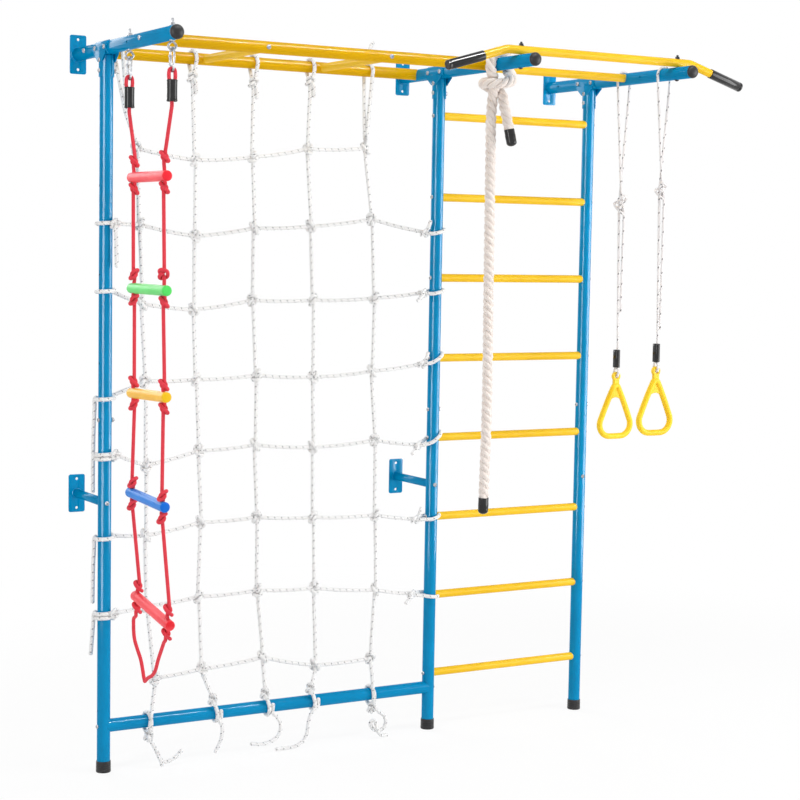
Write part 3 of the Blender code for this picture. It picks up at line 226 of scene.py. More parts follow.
# Loose ends by left tie, and by upright
POST_TAILS = {
    0: metres((-1073, -26, 1574), (-1072, -31, 1552), (-1070, -31, 1505), (-1068, -29, 1455)),
    2: metres(
        (-1108, 22, 1082), (-1115.5, 14, 1078), (-1116.5, 12, 1060), (-1117.5, 16, 1000),
        (-1117, 22, 900), (-1116, 25, 812),
    ),
    4: metres(
        (-1108, 22, 683), (-1115.5, 14, 678), (-1116.5, 12, 660), (-1117.5, 16, 600),
        (-1116, 24, 493),
    ),
    5: metres(
        (-1108, 22, 465), (-1115.5, 14, 460), (-1117, 14, 442), (-1118.5, 18, 400),
        (-1121, 24, 343),
    ),
}
BAR_TAILS = (
    metres(
        (-964, -32, 92), (-954, -36, 75), (-939, -35, 48), (-927, -34, 25), (-919, -34, 14.5),
        (-906, -34, 15), (-888, -34, 20), (-874, -34, 30), (-861, -34, 43),
    ),
    metres(
        (-739, -29, 117), (-731, -31, 104), (-731, -34, 77), (-739, -34, 49), (-752, -34, 25),
    ),
    metres(
        (-562, -29, 119), (-550, -31, 107), (-539.4, -34, 88), (-539.1, -34, 63), (-553, -34, 43),
        (-580, -34, 32), (-608, -34, 30), (-635, -34, 35),
    ),
    metres(
        (-418, -29, 117), (-432, -31, 104), (-443, -34, 78), (-448, -34, 46), (-459, -34, 24),
        (-478, -34, 12), (-510, -34, 8), (-552, -34, 8),
    ),
    metres(
        (-207, -30, 94), (-196, -30, 83), (-178, -29, 70), (-170, -29, 54), (-172, -30, 36),
        (-186, -32, 25), (-207, -34, 26), (-224, -35, 38), (-228, -37, 55), (-218, -41, 61),
        (-213, -46, 48), (-209, -46, 30), (-193, -44, 12), (-170, -40, 8),
    ),
)
BAR_TAIL_END = metres((-934, -40, 34), (-928, -42, 18), (-925, -42, 8))


def linked(name, data):
    """A new object in the scene."""
    item = bpy.data.objects.new(name, data)
    bpy.context.scene.collection.objects.link(item)
    return item


def add_camera():
    yaw, pitch, roll = radians(30.250), radians(4.658), radians(-1.0006)
    ahead = at(sin(yaw) * cos(pitch), cos(yaw) * cos(pitch), -sin(pitch))
    right = at(cos(yaw), -sin(yaw), 0)
    down = ahead.cross(right)
    across = right * cos(roll) + down * sin(roll)
    below = down * cos(roll) - right * sin(roll)
    turned = Matrix((across, -below, -ahead)).transposed().to_4x4()
    data = bpy.data.cameras.new("camera")
    data.sensor_width = 36
    data.lens = 1848.30 * data.sensor_width / 800
    item = linked("camera", data)
    item.matrix_world = Matrix.Translation((-3.00034, -4.9374, 1.51645)) @ turned
    bpy.context.scene.camera = item


# Finishes

class Value:
    """A shader socket that arithmetic can be written with."""

    def __init__(self, tree, socket):
        self.tree, self.socket = tree, socket

    def __add__(self, other):
        return self.tree.math("ADD", self, other)

    def __mul__(self, other):
        return self.tree.math("MULTIPLY", self, other)

    def __sub__(self, other):
        return self.tree.math("SUBTRACT", self, other)

    def __rsub__(self, other):
        return self.tree.math("SUBTRACT", other, self)

    def __abs__(self):
        return self.tree.math("ABSOLUTE", self)

    __radd__ = __add__
    __rmul__ = __mul__


class Nodes:
    """The nodes of a material or world."""

    def __init__(self, owner):
        owner.use_nodes = True
        self.nodes = owner.node_tree.nodes
        self.links = owner.node_tree.links

    def feed(self, node, sockets):
        for name, value in sockets.items():
            if isinstance(value, Value):
                self.links.new(value.socket, node.inputs[name])
            else:
                node.inputs[name].default_value = value

    def node(self, kind, sockets=None, output=0, **settings):
        made = self.nodes.new("ShaderNode" + kind)
        for name, value in settings.items():
            setattr(made, name, value)
        self.feed(made, sockets or {})
        return Value(self, made.outputs[output])

    def math(self, operation, *numbers):
        return self.node("Math", dict(enumerate(numbers)), operation=operation)

    def mix(self, share, first, second):
        return self.node("Mix", {0: share, 6: first, 7: second}, 2, data_type="RGBA")

    def rise(self, value, low, high):
        """0 below low, 1 above high, and a smooth step between."""
        sockets = {"Value": value, "From Min": low, "From Max": high}
        return self.node("MapRange", sockets, interpolation_type="SMOOTHSTEP")

    def noise(self, scale, detail=2.0, where=None):
        sockets = {"Vector": where or self.place, "Scale": scale, "Detail": detail}
        return self.node("TexNoise", sockets)

    def parts(self, vector):
        """The first two numbers of a vector."""
        first = self.node("SeparateXYZ", {0: vector})
        return first, Value(self, first.socket.node.outputs[1])

    def seen(self):
        """1 where a ray comes from the camera, a mirror or glass."""
        outputs = self.node("LightPath").socket.node.outputs
        rays = [Value(self, outputs[f"Is {kind} Ray"]) for kind in ("Camera", "Glossy", "Transmission")]
        return self.math("MAXIMUM", self.math("MAXIMUM", rays[0], rays[1]), rays[2])


class Finish(Nodes):
    """One material, and the record's slot that it stands for."""

    def __init__(self, name, slot, **constants):
        self.slot = slot
        self.material = bpy.data.materials.new(name)
        super().__init__(self.material)
        self.shader = self.nodes["Principled BSDF"]
        self.place = self.node("TexCoord", output="Object")
        self.feed(self.shader, {key.replace("_", " "): value for key, value in constants.items()})

    def cord_place(self):
        """Place on a cord: turns around it, and metres along it."""
        return self.parts(self.node("UVMap", uv_map="places"))

    def looks(self, colour, roughness, height, distance):
        normal = self.node("Bump", {"Height": height, "Distance": distance, "Strength": 1.0})
        self.feed(self.shader, {"Base Color": colour, "Roughness": roughness, "Normal": normal})
        return self


def colour(red, green, blue):
    """A colour as it shows on a screen, 0 to 255, as the shader's own numbers."""
    levels = [level / 255 for level in (red, green, blue)]
    return (*(v / 12.92 if v < 0.04045 else ((v + 0.055) / 1.055) ** 2.4 for v in levels), 1.0)


def powder_coat(name, slot, full, shade):
    """Glossy baked paint with a faint orange peel and a little drift in tone."""
    paint = Finish(name, slot, Coat_Weight=0.22, Coat_Roughness=0.10, Specular_IOR_Level=0.0)
    drift = paint.noise(6.0, 3.0)
    peel = paint.noise(420.0, 1.0) * 0.7 + paint.noise(1500.0) * 0.3
    tone = paint.mix(paint.rise(drift, 0.35, 0.68), colour(*full), colour(*shade))
    gloss = 0.28 + 0.08 * paint.noise(60.0, 3.0) + 0.03 * drift
    return paint.looks(tone, gloss, peel, 0.000012)


def moulded_plastic(name, slot, full, shade, end=None, middle=0.0):
    """Plastic with a fine grain, a slight flow of tone, and on a rung a deeper tone at its ends,
    painted shade of the end faces.
    """
    softness = {"Subsurface_Weight": 0.04, "Subsurface_Scale": 0.004}
    plastic = Finish(name, slot, Specular_IOR_Level=0.25, **softness)
    flow = plastic.noise(14.0, 3.0)
    grain = plastic.noise(900.0, 3.0)
    tone = plastic.mix(plastic.rise(flow, 0.38, 0.66), colour(*full), colour(*shade))
    # Painted shade: a rung's end faces take a deeper tone.
    if end:
        half = STEP_LENGTH / 2
        out = abs(plastic.parts(plastic.place)[1] - middle)
        tone = plastic.mix(plastic.rise(out, half - 0.004, half - 0.001), tone, colour(*end))
    return plastic.looks(tone, 0.30 + 0.16 * grain, grain, 0.00005)


def moulded_rubber(name, level, gloss, pebbles):
    """Black rubber with a dull bloom in patches and a fine pebble."""
    rubber = Finish(name, "black_rubber", Specular_IOR_Level=0.35)
    bloom = rubber.noise(40.0, 4.0)
    pebble = rubber.noise(1300.0)
    dark, dull = colour(level, level, level + 1), colour(level + 12, level + 11, level + 12)
    tone = rubber.mix(rubber.rise(bloom, 0.40, 0.75), dark, dull)
    return rubber.looks(tone, gloss + 0.25 * gloss * bloom, pebble, pebbles)


def plated_steel(name, full, shade):
    """Plated steel, clouded and faintly brushed."""
    steel = Finish(name, "zinc", Metallic=1.0)
    cloud = steel.noise(160.0, 4.0)
    drawn = steel.node("VectorMath", {0: steel.place, 1: (1.0, 1.0, 0.12)}, operation="MULTIPLY")
    tone = steel.mix(steel.rise(cloud, 0.35, 0.70), colour(*full), colour(*shade))
    return steel.looks(tone, 0.20 + 0.16 * cloud, steel.noise(700.0, where=drawn), 0.00008)


def braided_cord(name, slot, radius, tones, fleck_pitch, fleck_share, lay_pitch):
    """Crossing yarns, painted shade in the valleys of the lay, and a tracer yarn that shows as slanted
    flecks.

    The tones are those of the yarns, the gaps between them, the painted shade of the valleys and the
    flecks.
    """
    full, shade, valley_shade, fleck = (colour(*tone) for tone in tones)
    cord = Finish(name, slot, Specular_IOR_Level=0.15, Sheen_Weight=0.10, Sheen_Roughness=0.5)
    if slot == "white_cord":
        softness = {"Subsurface Scale": 0.006, "Subsurface Radius": (1.0, 1.0, 1.0)}
        cord.feed(cord.shader, {"Subsurface Weight": 0.30, **softness})
    around, along = cord.cord_place()
    yarns = 8
    lay = along * (yarns / (1.5 * TURN * radius))
    one = cord.math("SINE", (around * yarns + lay) * TURN)
    other = cord.math("SINE", (around * yarns - lay) * TURN)
    over = cord.math("MAXIMUM", one, other)
    fuzz = cord.noise(1600.0, 3.0)
    dirt = cord.noise(24.0, 3.0)
    ridge = cord.math("COSINE", (around - along * (1.0 / lay_pitch)) * (0.5 * LAY_LOBES * TURN))
    tracer = cord.math("FRACT", around - along * (1.0 / fleck_pitch))
    near = abs(tracer - 0.5)
    stripe = 1.0 - cord.rise(near, fleck_share * 0.5, fleck_share)
    hops = along * (TURN / fleck_pitch * 3.0) + around * TURN
    hop = cord.rise(cord.math("SINE", hops), -0.1, 0.3)
    body = cord.mix(cord.rise(over * 0.5 + fuzz * 0.5, 0.25, 0.80), shade, full)
    # Painted shade: the valleys between the lay's ridges are darkened.
    laid = cord.mix(cord.rise(abs(ridge) + 0.15 * fuzz, 0.10, 0.50), valley_shade, body)
    worn = cord.mix(cord.rise(dirt, 0.45, 0.80) * 0.25, laid, shade)
    tone = cord.mix(stripe * hop, worn, fleck)
    return cord.looks(tone, 0.70 + 0.2 * fuzz, over * 0.7 + fuzz * 0.5, 0.0004)


def laid_strand():
    """Cotton strand: fine yarns along it, with fuzz, and painted shade on its inner side where it meets
    its neighbours.
    """
    cotton = Finish(
        "laid_cotton", "cotton_rope", Specular_IOR_Level=0.2, Sheen_Weight=0.25, Sheen_Roughness=0.5,
    )
    around, along = cotton.cord_place()
    lay = around * 13.0 + along * 60.0
    yarn = cotton.math("SINE", lay * TURN)
    fuzz = cotton.noise(1100.0, 4.0)
    patch = cotton.noise(30.0, 3.0)
    streak = cotton.noise(2.0, 3.0, cotton.node("CombineXYZ", {0: lay, 1: along * 9.0}))
    base = cotton.mix(cotton.rise(streak, 0.30, 0.70), colour(242, 232, 225), colour(254, 248, 242))
    grooved = cotton.mix(cotton.rise(yarn * 0.5 + fuzz, 0.0, 0.55), colour(226, 211, 202), base)
    worn = cotton.mix(cotton.rise(patch, 0.52, 0.80) * 0.4, grooved, colour(232, 218, 209))
    # Painted shade: each strand's inner side, where it presses on its neighbours, is darkened to a
    # brown-grey.
    crevice_shade_mask = 1.0 - abs(around * 2.0 - 1.0)
    tone = cotton.mix(cotton.rise(crevice_shade_mask + 0.06 * fuzz, 0.46, 0.64), worn, colour(140, 116, 100))
    return cotton.looks(tone, 0.80 + 0.15 * fuzz, yarn * 0.35 + fuzz * 0.6, 0.0006)


BLUE = powder_coat("blue_powder_coat", "blue_paint", (0, 138, 190), (0, 131, 181))
DEEP_YELLOW = powder_coat("deep_yellow_powder_coat", "yellow_paint", (222, 172, 0), (215, 164, 0))
YELLOW = powder_coat("yellow_powder_coat", "yellow_paint", (242, 196, 48), (236, 188, 38))
RUBBER = moulded_rubber("black_rubber_moulding", 36, 0.34, 0.00012)
GLOSS_BLACK = moulded_rubber("glossy_black_cap", 28, 0.08, 0.00002)
ZINC = plated_steel("bright_zinc", (190, 192, 196), (140, 142, 146))
DARK_STEEL = plated_steel("dark_fastener_steel", (74, 75, 78), (48, 49, 52))
# Each cord's third tone is painted shade for the valleys of its lay.
NET_CORD = braided_cord(
    "net_cord", "white_cord", NET_ROPE_RADIUS,
    ((252, 252, 251), (240, 239, 238), (212, 211, 211), (112, 114, 117)), 0.023, 0.075, 0.030,
)
RING_CORD = braided_cord(
    "ring_cord", "white_cord", RING_ROPE_RADIUS,
    ((250, 247, 246), (236, 231, 230), (218, 213, 212), (96, 96, 98)), 0.042, 0.09, 0.020,
)
RED_CORD = braided_cord(
    "red_cord", "red_rope", LADDER_ROPE_RADIUS,
    ((244, 76, 90), (226, 60, 74), (222, 56, 70), (214, 50, 64)), 0.030, 0.02, 0.022,
)
COTTON = laid_strand()
RING_PLASTIC = moulded_plastic("ring_yellow_plastic", "ring_plastic", (250, 208, 40), (244, 196, 26))
# Name, slot, the two body tones, and the end tone of each rung, which is painted shade of its end faces
STEP_FINISH = {
    rung: moulded_plastic(name, slot, *tones, STEP_PLACES[rung][0])
    for rung, (name, slot, *tones) in zip(STEP_PLACES, (
        ("coral_rung_plastic", "coral_plastic", (255, 84, 92), (248, 74, 84), (240, 40, 54)),
        ("green_rung_plastic", "green_plastic", (112, 230, 124), (102, 222, 114), (84, 222, 100)),
        ("orange_rung_plastic", "orange_plastic", (255, 200, 70), (250, 190, 56), (244, 196, 26)),
        ("blue_rung_plastic", "blue_plastic", (30, 132, 226), (22, 122, 216), (0, 108, 216)),
        ("low_coral_rung_plastic", "coral_plastic", (255, 84, 92), (248, 74, 84), (236, 34, 48)),
    ))
}


# Lines

def smooth(route, spacing, closed=False):
    """Points about a spacing apart on a smooth curve through the route's points."""
    route = np.array([tuple(point) for point in route], float)
    step = np.linalg.norm(np.roll(route, -1, axis=0) - route, axis=1)[:, None]
    after = (np.roll(route, -1, axis=0) - route) / np.maximum(step, 1e-9)
    before = np.roll(after, 1, axis=0)
    last = np.roll(step, 1, axis=0)
    slope = (before * step + after * last) / np.maximum(step + last, 1e-9)
    if not closed:
        slope[0] = after[0]
        slope[-1] = before[-1]
    found = []
    for i in range(len(route) if closed else len(route) - 1):
        there = (i + 1) % len(route)
        parts = max(1, round(float(step[i, 0]) / spacing))
        t = (np.arange(parts) / parts)[:, None]
        found.append(
            (2 * t**3 - 3 * t**2 + 1) * route[i]
            + (t**3 - 2 * t**2 + t) * step[i] * slope[i]
            + (3 * t**2 - 2 * t**3) * route[there]
            + (t**3 - t**2) * step[i] * slope[there]
        )
    return np.concatenate(found if closed else found + [route[-1:]])


def lengths(line):
    return np.concatenate([[0.0], np.cumsum(np.linalg.norm(np.diff(line, axis=0), axis=1))])


def directions(line, closed=False):
    """Direction of a line at each point, and two directions across it that don't twist."""
    if closed:
        ahead = np.roll(line, -1, axis=0) - np.roll(line, 1, axis=0)
    else:
        ahead = np.gradient(line, axis=0)
    ahead /= np.linalg.norm(ahead, axis=1, keepdims=True)
    side = np.eye(3)[int(np.argmin(np.abs(ahead[0])))]
    sides = np.empty_like(line)
    for i, forward in enumerate(ahead):
        side = side - forward * side.dot(forward)
        side = side / np.linalg.norm(side)
        sides[i] = side
    ups = np.cross(ahead, sides)
    if closed:
        final = side - ahead[0] * side.dot(ahead[0])
        slip = np.arctan2(final.dot(ups[0]), final.dot(sides[0]))
        turn = (-slip * np.arange(len(line)) / len(line))[:, None]
        sides, ups = (
            sides * np.cos(turn) + ups * np.sin(turn),
            ups * np.cos(turn) - sides * np.sin(turn),
        )
    return ahead, sides, ups


def tight_knot():
    """Centre line of a pulled-tight overhand knot along X, in radii of its cord.

    A loose knot is pulled at both ends, with its length kept and its turns pushed apart.
    """
    t = np.linspace(-2.25, 2.25, 120)
    route = np.stack([t**3 - 3 * t, t**4 - 4 * t**2, (t**5 - 10 * t) * 0.2], axis=1) * 1.15
    lead = np.array([[-10.0, 3.0, -1.5], [-7.0, 3.4, -1.8]])
    route = np.concatenate([lead, route[8:-8], lead[::-1] * [-1, 1, -1]])
    reach = lengths(route)
    count = int(reach[-1]) + 1
    stops = np.linspace(0, reach[-1], count)
    line = np.stack([np.interp(stops, reach, route[:, k]) for k in range(3)], axis=1)
    step = reach[-1] / (count - 1)
    index = np.arange(count)
    apart = np.abs(index[:, None] - index[None, :]) >= 4
    for _ in range(104):
        line[0] += (-0.05, -0.04 * line[0, 1], -0.04 * line[0, 2])
        line[-1] += (0.05, -0.04 * line[-1, 1], -0.04 * line[-1, 2])
        ends = line[0].copy(), line[-1].copy()
        for _ in range(14):
            for first in (0, 1):
                here, there = line[first:-1:2], line[first + 1::2]
                pairs = min(len(here), len(there))
                gap = there[:pairs] - here[:pairs]
                size = np.linalg.norm(gap, axis=1, keepdims=True)
                push = gap * (0.5 * (size - step) / size)
                here[:pairs] += push
                there[:pairs] -= push
            delta = line[:, None] - line[None, :]
            far = np.linalg.norm(delta, axis=2) + np.eye(count)
            push = delta / far[..., None] * ((2.0 - far) * 0.35)[..., None]
            line += np.where((apart & (far < 2.0))[..., None], push, 0).sum(axis=1)
            line[0], line[-1] = ends
    line = line[np.abs(line[:, 0]) < 3.7]
    line[:, 1] += 1.0
    return line


KNOT = tight_knot().tolist()


def knot_at(centre, axis, side, radius, fullness=1.0):
    """The knot's points round a centre, its axis along the cord and its bulge away from side."""
    axis = Vector(axis).normalized()
    side = Vector(side)
    side = (side - axis * side.dot(axis)).normalized()
    up = axis.cross(side)
    return [Vector(centre) + (axis * x + (side * y + up * z) * fullness) * radius for x, y, z in KNOT]


def straight_run(here, there, near=0.012):
    """Points that keep a cord straight between two places."""
    here, there = Vector(here), Vector(there)
    ahead = (there - here).normalized() * near
    return [here + ahead, here + ahead * 2, there - ahead * 2, there - ahead]


# Shapes

class Shape:
    """Points, faces and places on the cord, gathered before they become one piece."""

    def __init__(self):
        self.points, self.faces, self.places = [], [], []

    def add(self, points, faces, places=None):
        total = len(self.points)
        self.points += points
        self.faces += [tuple(i + total for i in face) for face in faces]
        self.places += places or [(0.0, 0.0)] * sum(len(face) for face in faces)
        return self

    def skin(self, rings, closed, along):
        """Quads between neighbouring rings of points, with flat ends on an open skin."""
        count, sides, _ = rings.shape
        first = np.arange(count if closed else count - 1)[:, None]
        k = np.arange(sides)[None, :]
        here, there, after = first * sides, (first + 1) % count * sides, (k + 1) % sides
        faces = np.stack([here + k, here + after, there + after, there + k], axis=-1)
        end = np.append(along, 2 * along[-1] - along[-2])
        u = np.broadcast_to(np.stack([k, k + 1, k + 1, k], axis=-1) / sides, faces.shape)
        v = np.stack([end[first], end[first], end[first + 1], end[first + 1]], axis=-1)
        places = np.stack([u, np.broadcast_to(v, faces.shape)], axis=-1).reshape(-1, 2).tolist()
        faces = faces.reshape(-1, 4).tolist()
        if not closed:
            faces += [list(range(sides))[::-1], [(count - 1) * sides + i for i in range(sides)]]
            places += [(0.5, float(along[0]))] * sides + [(0.5, float(along[-1]))] * sides
        return self.add(rings.reshape(-1, 3).tolist(), faces, places)

    def sweep(
        self, line, radius, sides, closed=False, relief=None, start=0.0, round_ends=True, outward=None,
    ):
        """A cord or bar along a line. relief(around, along) multiplies its radius.

        outward is the direction at each point where its places start.
        """
        line = np.asarray([tuple(point) for point in line], float)
        radius = np.broadcast_to(radius, len(line)).astype(float)
        if round_ends and not closed:
            angles = np.radians([30, 58, 80])
            back = (line[0] - line[1]) / np.linalg.norm(line[0] - line[1])
            out = (line[-1] - line[-2]) / np.linalg.norm(line[-1] - line[-2])
            head = line[0] + back * (radius[0] * 0.7 * np.sin(angles))[:, None]
            tail = line[-1] + out * (radius[-1] * 0.7 * np.sin(angles))[:, None]
            line = np.concatenate([head[::-1], line, tail])
            first, last = radius[0] * np.cos(angles), radius[-1] * np.cos(angles)
            radius = np.concatenate([first[::-1], radius, last])
        ahead, across, up = directions(line, closed)
        if outward is not None:
            across = outward - ahead * (ahead * outward).sum(axis=1, keepdims=True)
            across /= np.linalg.norm(across, axis=1, keepdims=True)
            up = np.cross(ahead, across)
        along = lengths(line) + start
        around = TURN * np.arange(sides) / sides
        size = np.repeat(radius[:, None], sides, axis=1)
        if relief:
            size = size * relief(around[None, :], along[:, None])
        cosines, sines = np.cos(around)[None, :, None], np.sin(around)[None, :, None]
        turn = across[:, None] * cosines + up[:, None] * sines
        return self.skin(line[:, None] + size[..., None] * turn, closed, along)

    def turned(self, profile, steps, start=(0, 0, 0), direction=UP, shaper=None):
        """A profile of (radius, height) turned about a direction.

        It is a closed outline, or starts and ends at radius 0.
        """
        turn = Vector(direction).to_track_quat("Z", "Y").to_matrix()
        start = Vector(start)
        pointed = profile[0][0] == 0
        rings = [point for point in profile if point[0] > 0]
        points = []
        for j, (radius, height) in enumerate(rings):
            for angle in (TURN * i / steps for i in range(steps)):
                size = radius * (shaper(angle, j) if shaper else 1.0)
                points.append(start + turn @ at(size * cos(angle), size * sin(angle), height))
        faces = []
        for j in range(len(rings) - 1 if pointed else len(rings)):
            below, above = j * steps, (j + 1) % len(rings) * steps
            for i in range(steps):
                after = (i + 1) % steps
                faces.append((below + i, below + after, above + after, above + i))
        if pointed:
            for ring, height in ((0, profile[0][1]), ((len(rings) - 1) * steps, profile[-1][1])):
                tip = len(points)
                points.append(start + turn @ at(0, 0, height))
                faces += [(ring + i, ring + (i + 1) % steps, tip) for i in range(steps)]
        return self.add([tuple(point) for point in points], faces)


def rod(radius, length):
    """Profile of a plain rod."""
    return [(0, 0), (radius, 0), (radius, length), (0, length)]


def shade(data, limit):
    data.polygons.foreach_set("use_smooth", [True] * len(data.polygons))
    data.set_sharp_from_angle(angle=radians(limit))


def as_object(name, shape, limit=38):
    data = bpy.data.meshes.new(name)
    data.from_pydata(shape.points, [], shape.faces)
    layer = data.uv_layers.new(name="places")
    layer.data.foreach_set("uv", np.array(shape.places, np.float32).ravel())
    body = bmesh.new()
    body.from_mesh(data)
    bmesh.ops.recalc_face_normals(body, faces=body.faces)
    body.to_mesh(data)
    body.free()
    shade(data, limit)
    return linked(name, data)


def dress(item, finish, body, *nodes):
    """Gives a piece its finish and body, and hides the nodes that it stands for."""
    item.data.materials.clear()
    item.data.materials.append(finish.material)
    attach(item, body)
    if nodes:
        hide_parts(*nodes)
    return item


def piece(name, shape, finish, body, *nodes, limit=38):
    return dress(as_object(name, shape, limit), finish, body, *nodes)


def change(item, kind, limit=38, **settings):
    """Applies a modifier to an object and shades it again."""
    made = item.modifiers.new("change", kind)
    for name, value in settings.items():
        setattr(made, name, value)
    bpy.context.view_layer.update()
    graph = bpy.context.evaluated_depsgraph_get()
    data, old = bpy.data.meshes.new_from_object(item.evaluated_get(graph)), item.data
    item.modifiers.clear()
    item.data = data
    bpy.data.meshes.remove(old)
    shade(data, limit)
    return item


def discard(item):
    data = item.data
    bpy.data.objects.remove(item, do_unlink=True)
    bpy.data.meshes.remove(data)


def with_cutter(item, shape, operation="DIFFERENCE"):
    """Cuts a shape out of an object, or joins it."""
    tool = as_object(item.name + "_tool", shape)
    change(item, "BOOLEAN", operation=operation, object=tool, solver="EXACT")
    discard(tool)
    return item


def soften(item, width, segments=2, angle=35):
    """Rounds the edges of an object that are sharper than the angle."""
    return change(
        item, "BEVEL", 50, width=width, segments=segments, limit_method="ANGLE",
        angle_limit=radians(angle), use_clamp_overlap=True,
    )


def tube_profile(radius, wall, low, high, stops=()):
    """Outline of a tube's wall with slightly eased rims, and extra rings at the stops."""
    ease = min(0.0004, wall / 3)
    outer = [(radius - ease, low), (radius, low + ease)]
    outer += [(radius, stop) for stop in sorted(stops) if low + 0.002 < stop < high - 0.002]
    outer += [(radius, high - ease), (radius - ease, high)]
    return outer + [(radius - wall, high), (radius - wall, low)]


def tube(radius, wall, start, end, stops=(), steps=48):
    start = Vector(start)
    run = Vector(end) - start
    return Shape().turned(tube_profile(radius, wall, 0, run.length, stops), steps, start, run)


def prism(outline, depth, matrix):
    """A flat outline given a depth on both sides of its plane."""
    count = len(outline)
    points = [tuple(matrix @ at(u, v, side * depth / 2)) for side in (-1, 1) for u, v in outline]
    faces = [tuple(range(count))[::-1], tuple(range(count, 2 * count))]
    faces += [(i, (i + 1) % count, count + (i + 1) % count, count + i) for i in range(count)]
    return Shape().add(points, faces)


def facing(place):
    """The place of an outline that stands upright and looks along Y."""
    return Matrix.Translation(place) @ Matrix.Rotation(pi / 2, 4, "X")


def drill(item, holes, radius):
    """Drills round holes, each given by its start and end."""
    tools = Shape()
    for start, end in holes:
        run = Vector(end) - Vector(start)
        tools.turned(rod(radius, run.length), 20, start, run)
    return with_cutter(item, tools)


def left_holes(item, places):
    """Drills the unused holes on the left side of a tube."""
    drill(item, [((x - 0.030, y, z), (x - 0.010, y, z)) for x, y, z in places], HOLE_RADIUS)


# Small fasteners

def six_sided(angle):
    return 1 / cos((angle + pi / 6) % (pi / 3) - pi / 6)


def dome_head(shape, place, out, radius=0.0066, height=0.0042):
    """A round bolt head with a hex socket."""
    profile = [(0, 0), (radius, 0), (radius, height * 0.18)]
    profile += [
        (radius * cos(a) * 0.99, height * (0.18 + 0.82 * sin(a))) for a in (0.25, 0.55, 0.85, 1.05)
    ]
    socket = len(profile)
    profile += [(radius * 0.42, height), (radius * 0.36, height * 0.94)]
    profile += [(radius * 0.34, height * 0.40), (0, height * 0.36)]
    hexed = lambda angle, j: six_sided(angle) if j >= socket else 1.0
    return shape.turned(profile, 24, place, out, hexed)


def washer(shape, place, out, radius=0.0078):
    thick = 0.0012
    profile = [(0, 0), (radius, 0), (radius, thick * 0.7), (radius - thick * 0.3, thick), (0, thick)]
    return shape.turned(profile, 28, place, out)


def hex_nut(shape, place, out, radius=0.0058, height=0.0055, bolt=0.0035, proud=0.003):
    """A hex nut with chamfered corners, and the round end of its bolt."""
    flat = radius * 0.98
    end = height + proud
    profile = [(0, 0), (flat, 0), (radius, height * 0.14), (radius, height * 0.86), (flat, height)]
    profile += [(bolt * 1.15, height), (bolt, height * 1.02), (bolt, height + proud * 0.75)]
    profile += [(bolt * 0.75, end), (0, end)]
    hexed = lambda angle, j: six_sided(angle) if 1 <= j <= 2 else 1.0
    return shape.turned(profile, 36, place, out, hexed)


def bolt_through(shape, x, y, z, reach):
    """A bolt across a tube or clamp: its head on the left and its nut on the right."""
    dome_head(shape, (x - reach, y, z), (-1, 0, 0))
    washer(shape, (x + reach, y, z), (1, 0, 0))
    hex_nut(shape, (x + reach + 0.0012, y, z), (1, 0, 0))


# Cords

def cord_relief(pitch, depth):
    """A twisted cord's soft grooves."""
    return lambda around, along: 1 - depth * (
        1 - np.abs(np.cos(0.5 * LAY_LOBES * (around - TURN * along / pitch)))
    )


def ladder_frame(place):
    """A rung's centre, the direction along it and the one up from it."""
    y, z, dip = place[:3]
    angle = radians(dip)
    return at(LEFT, y, z), at(0, -cos(angle), -sin(angle)), at(0, -sin(angle), cos(angle))


def ladder_side(end):
    """Points down one side of the rope ladder, 0 for its rear and 1 for its front."""
    points = []
    for place, turns in zip(STEP_PLACES.values(), STEP_KNOT_TURNS):
        centre, along, up = ladder_frame(place)
        spot = centre + along * (STEP_ROPE_Y * (2 * end - 1))
        above, below = (
            knot_at(
                spot + up * height, -up, (0.38 * turn, 0.92 * turn, 0) if turn else (0.92, -0.38, 0),
                LADDER_ROPE_RADIUS * 0.97, 1.22,
            )
            for height, turn in (
                (STEP_RADIUS + place[3 + end], turns[end]), (-STEP_RADIUS - 0.0165, turns[2 + end]),
            )
        )
        if points:
            points += straight_run(points[-1], above[0], 0.008)
        points += above + [spot + up * STEP_RADIUS * 0.8, spot - up * STEP_RADIUS * 0.8] + below
    return points


def ladder_rope_line():
    """The red rope: round the rear hook, down, through the tip, up, and round the front hook."""
    foot = SLEEVE_TOP_Z - SLEEVE_LENGTH
    wrap = HOOK_ROD + GAP + LADDER_ROPE_RADIUS
    leg = wrap * 0.62

    def hung(y, knot, sign):
        """From the short end in the sleeve, over the hook, and down to the first knot."""
        over = [(wrap * cos(pi * k / 8), HOOK_BOTTOM_Z + wrap * sin(pi * k / 8)) for k in range(9)]
        way = [(leg, foot + 0.006), (leg, SLEEVE_TOP_Z - 0.022), *over, (-leg, SLEEVE_TOP_Z - 0.022)]
        way += [(-leg * 0.4, foot + 0.014), (0, foot + 0.002), (0, foot - 0.012)]
        points = [at(LEFT + sign * x, y, z) for x, z in way]
        return points + straight_run(points[-1], knot)

    rear, front = ladder_side(0), ladder_side(1)
    route = hung(LADDER_HANG_Y["rear"], rear[0], 1) + rear
    route += [at(LEFT, y, z) for y, z in LADDER_BEND]
    route += front[::-1] + hung(LADDER_HANG_Y["front"], front[0], -1)[::-1]
    return smooth(route, 0.0024)


def sleeve(start):
    """A crimped sleeve with rolled mouths."""
    radius, length = SLEEVE_RADIUS, SLEEVE_LENGTH
    inner = radius - 0.0016
    mouth = metres((-1.6, 0), (-0.8, -0.6), (0.4, 0.4), (0.7, 1.8), (0.2, 4), (0, 6))
    profile = [(radius + out, height) for out, height in mouth] + [(radius - 0.0003, length / 2)]
    profile += [(radius + out, length - height) for out, height in reversed(mouth)]
    profile += [(inner, length - 0.004), (inner, 0.004)]
    return Shape().turned(profile, 36, start)


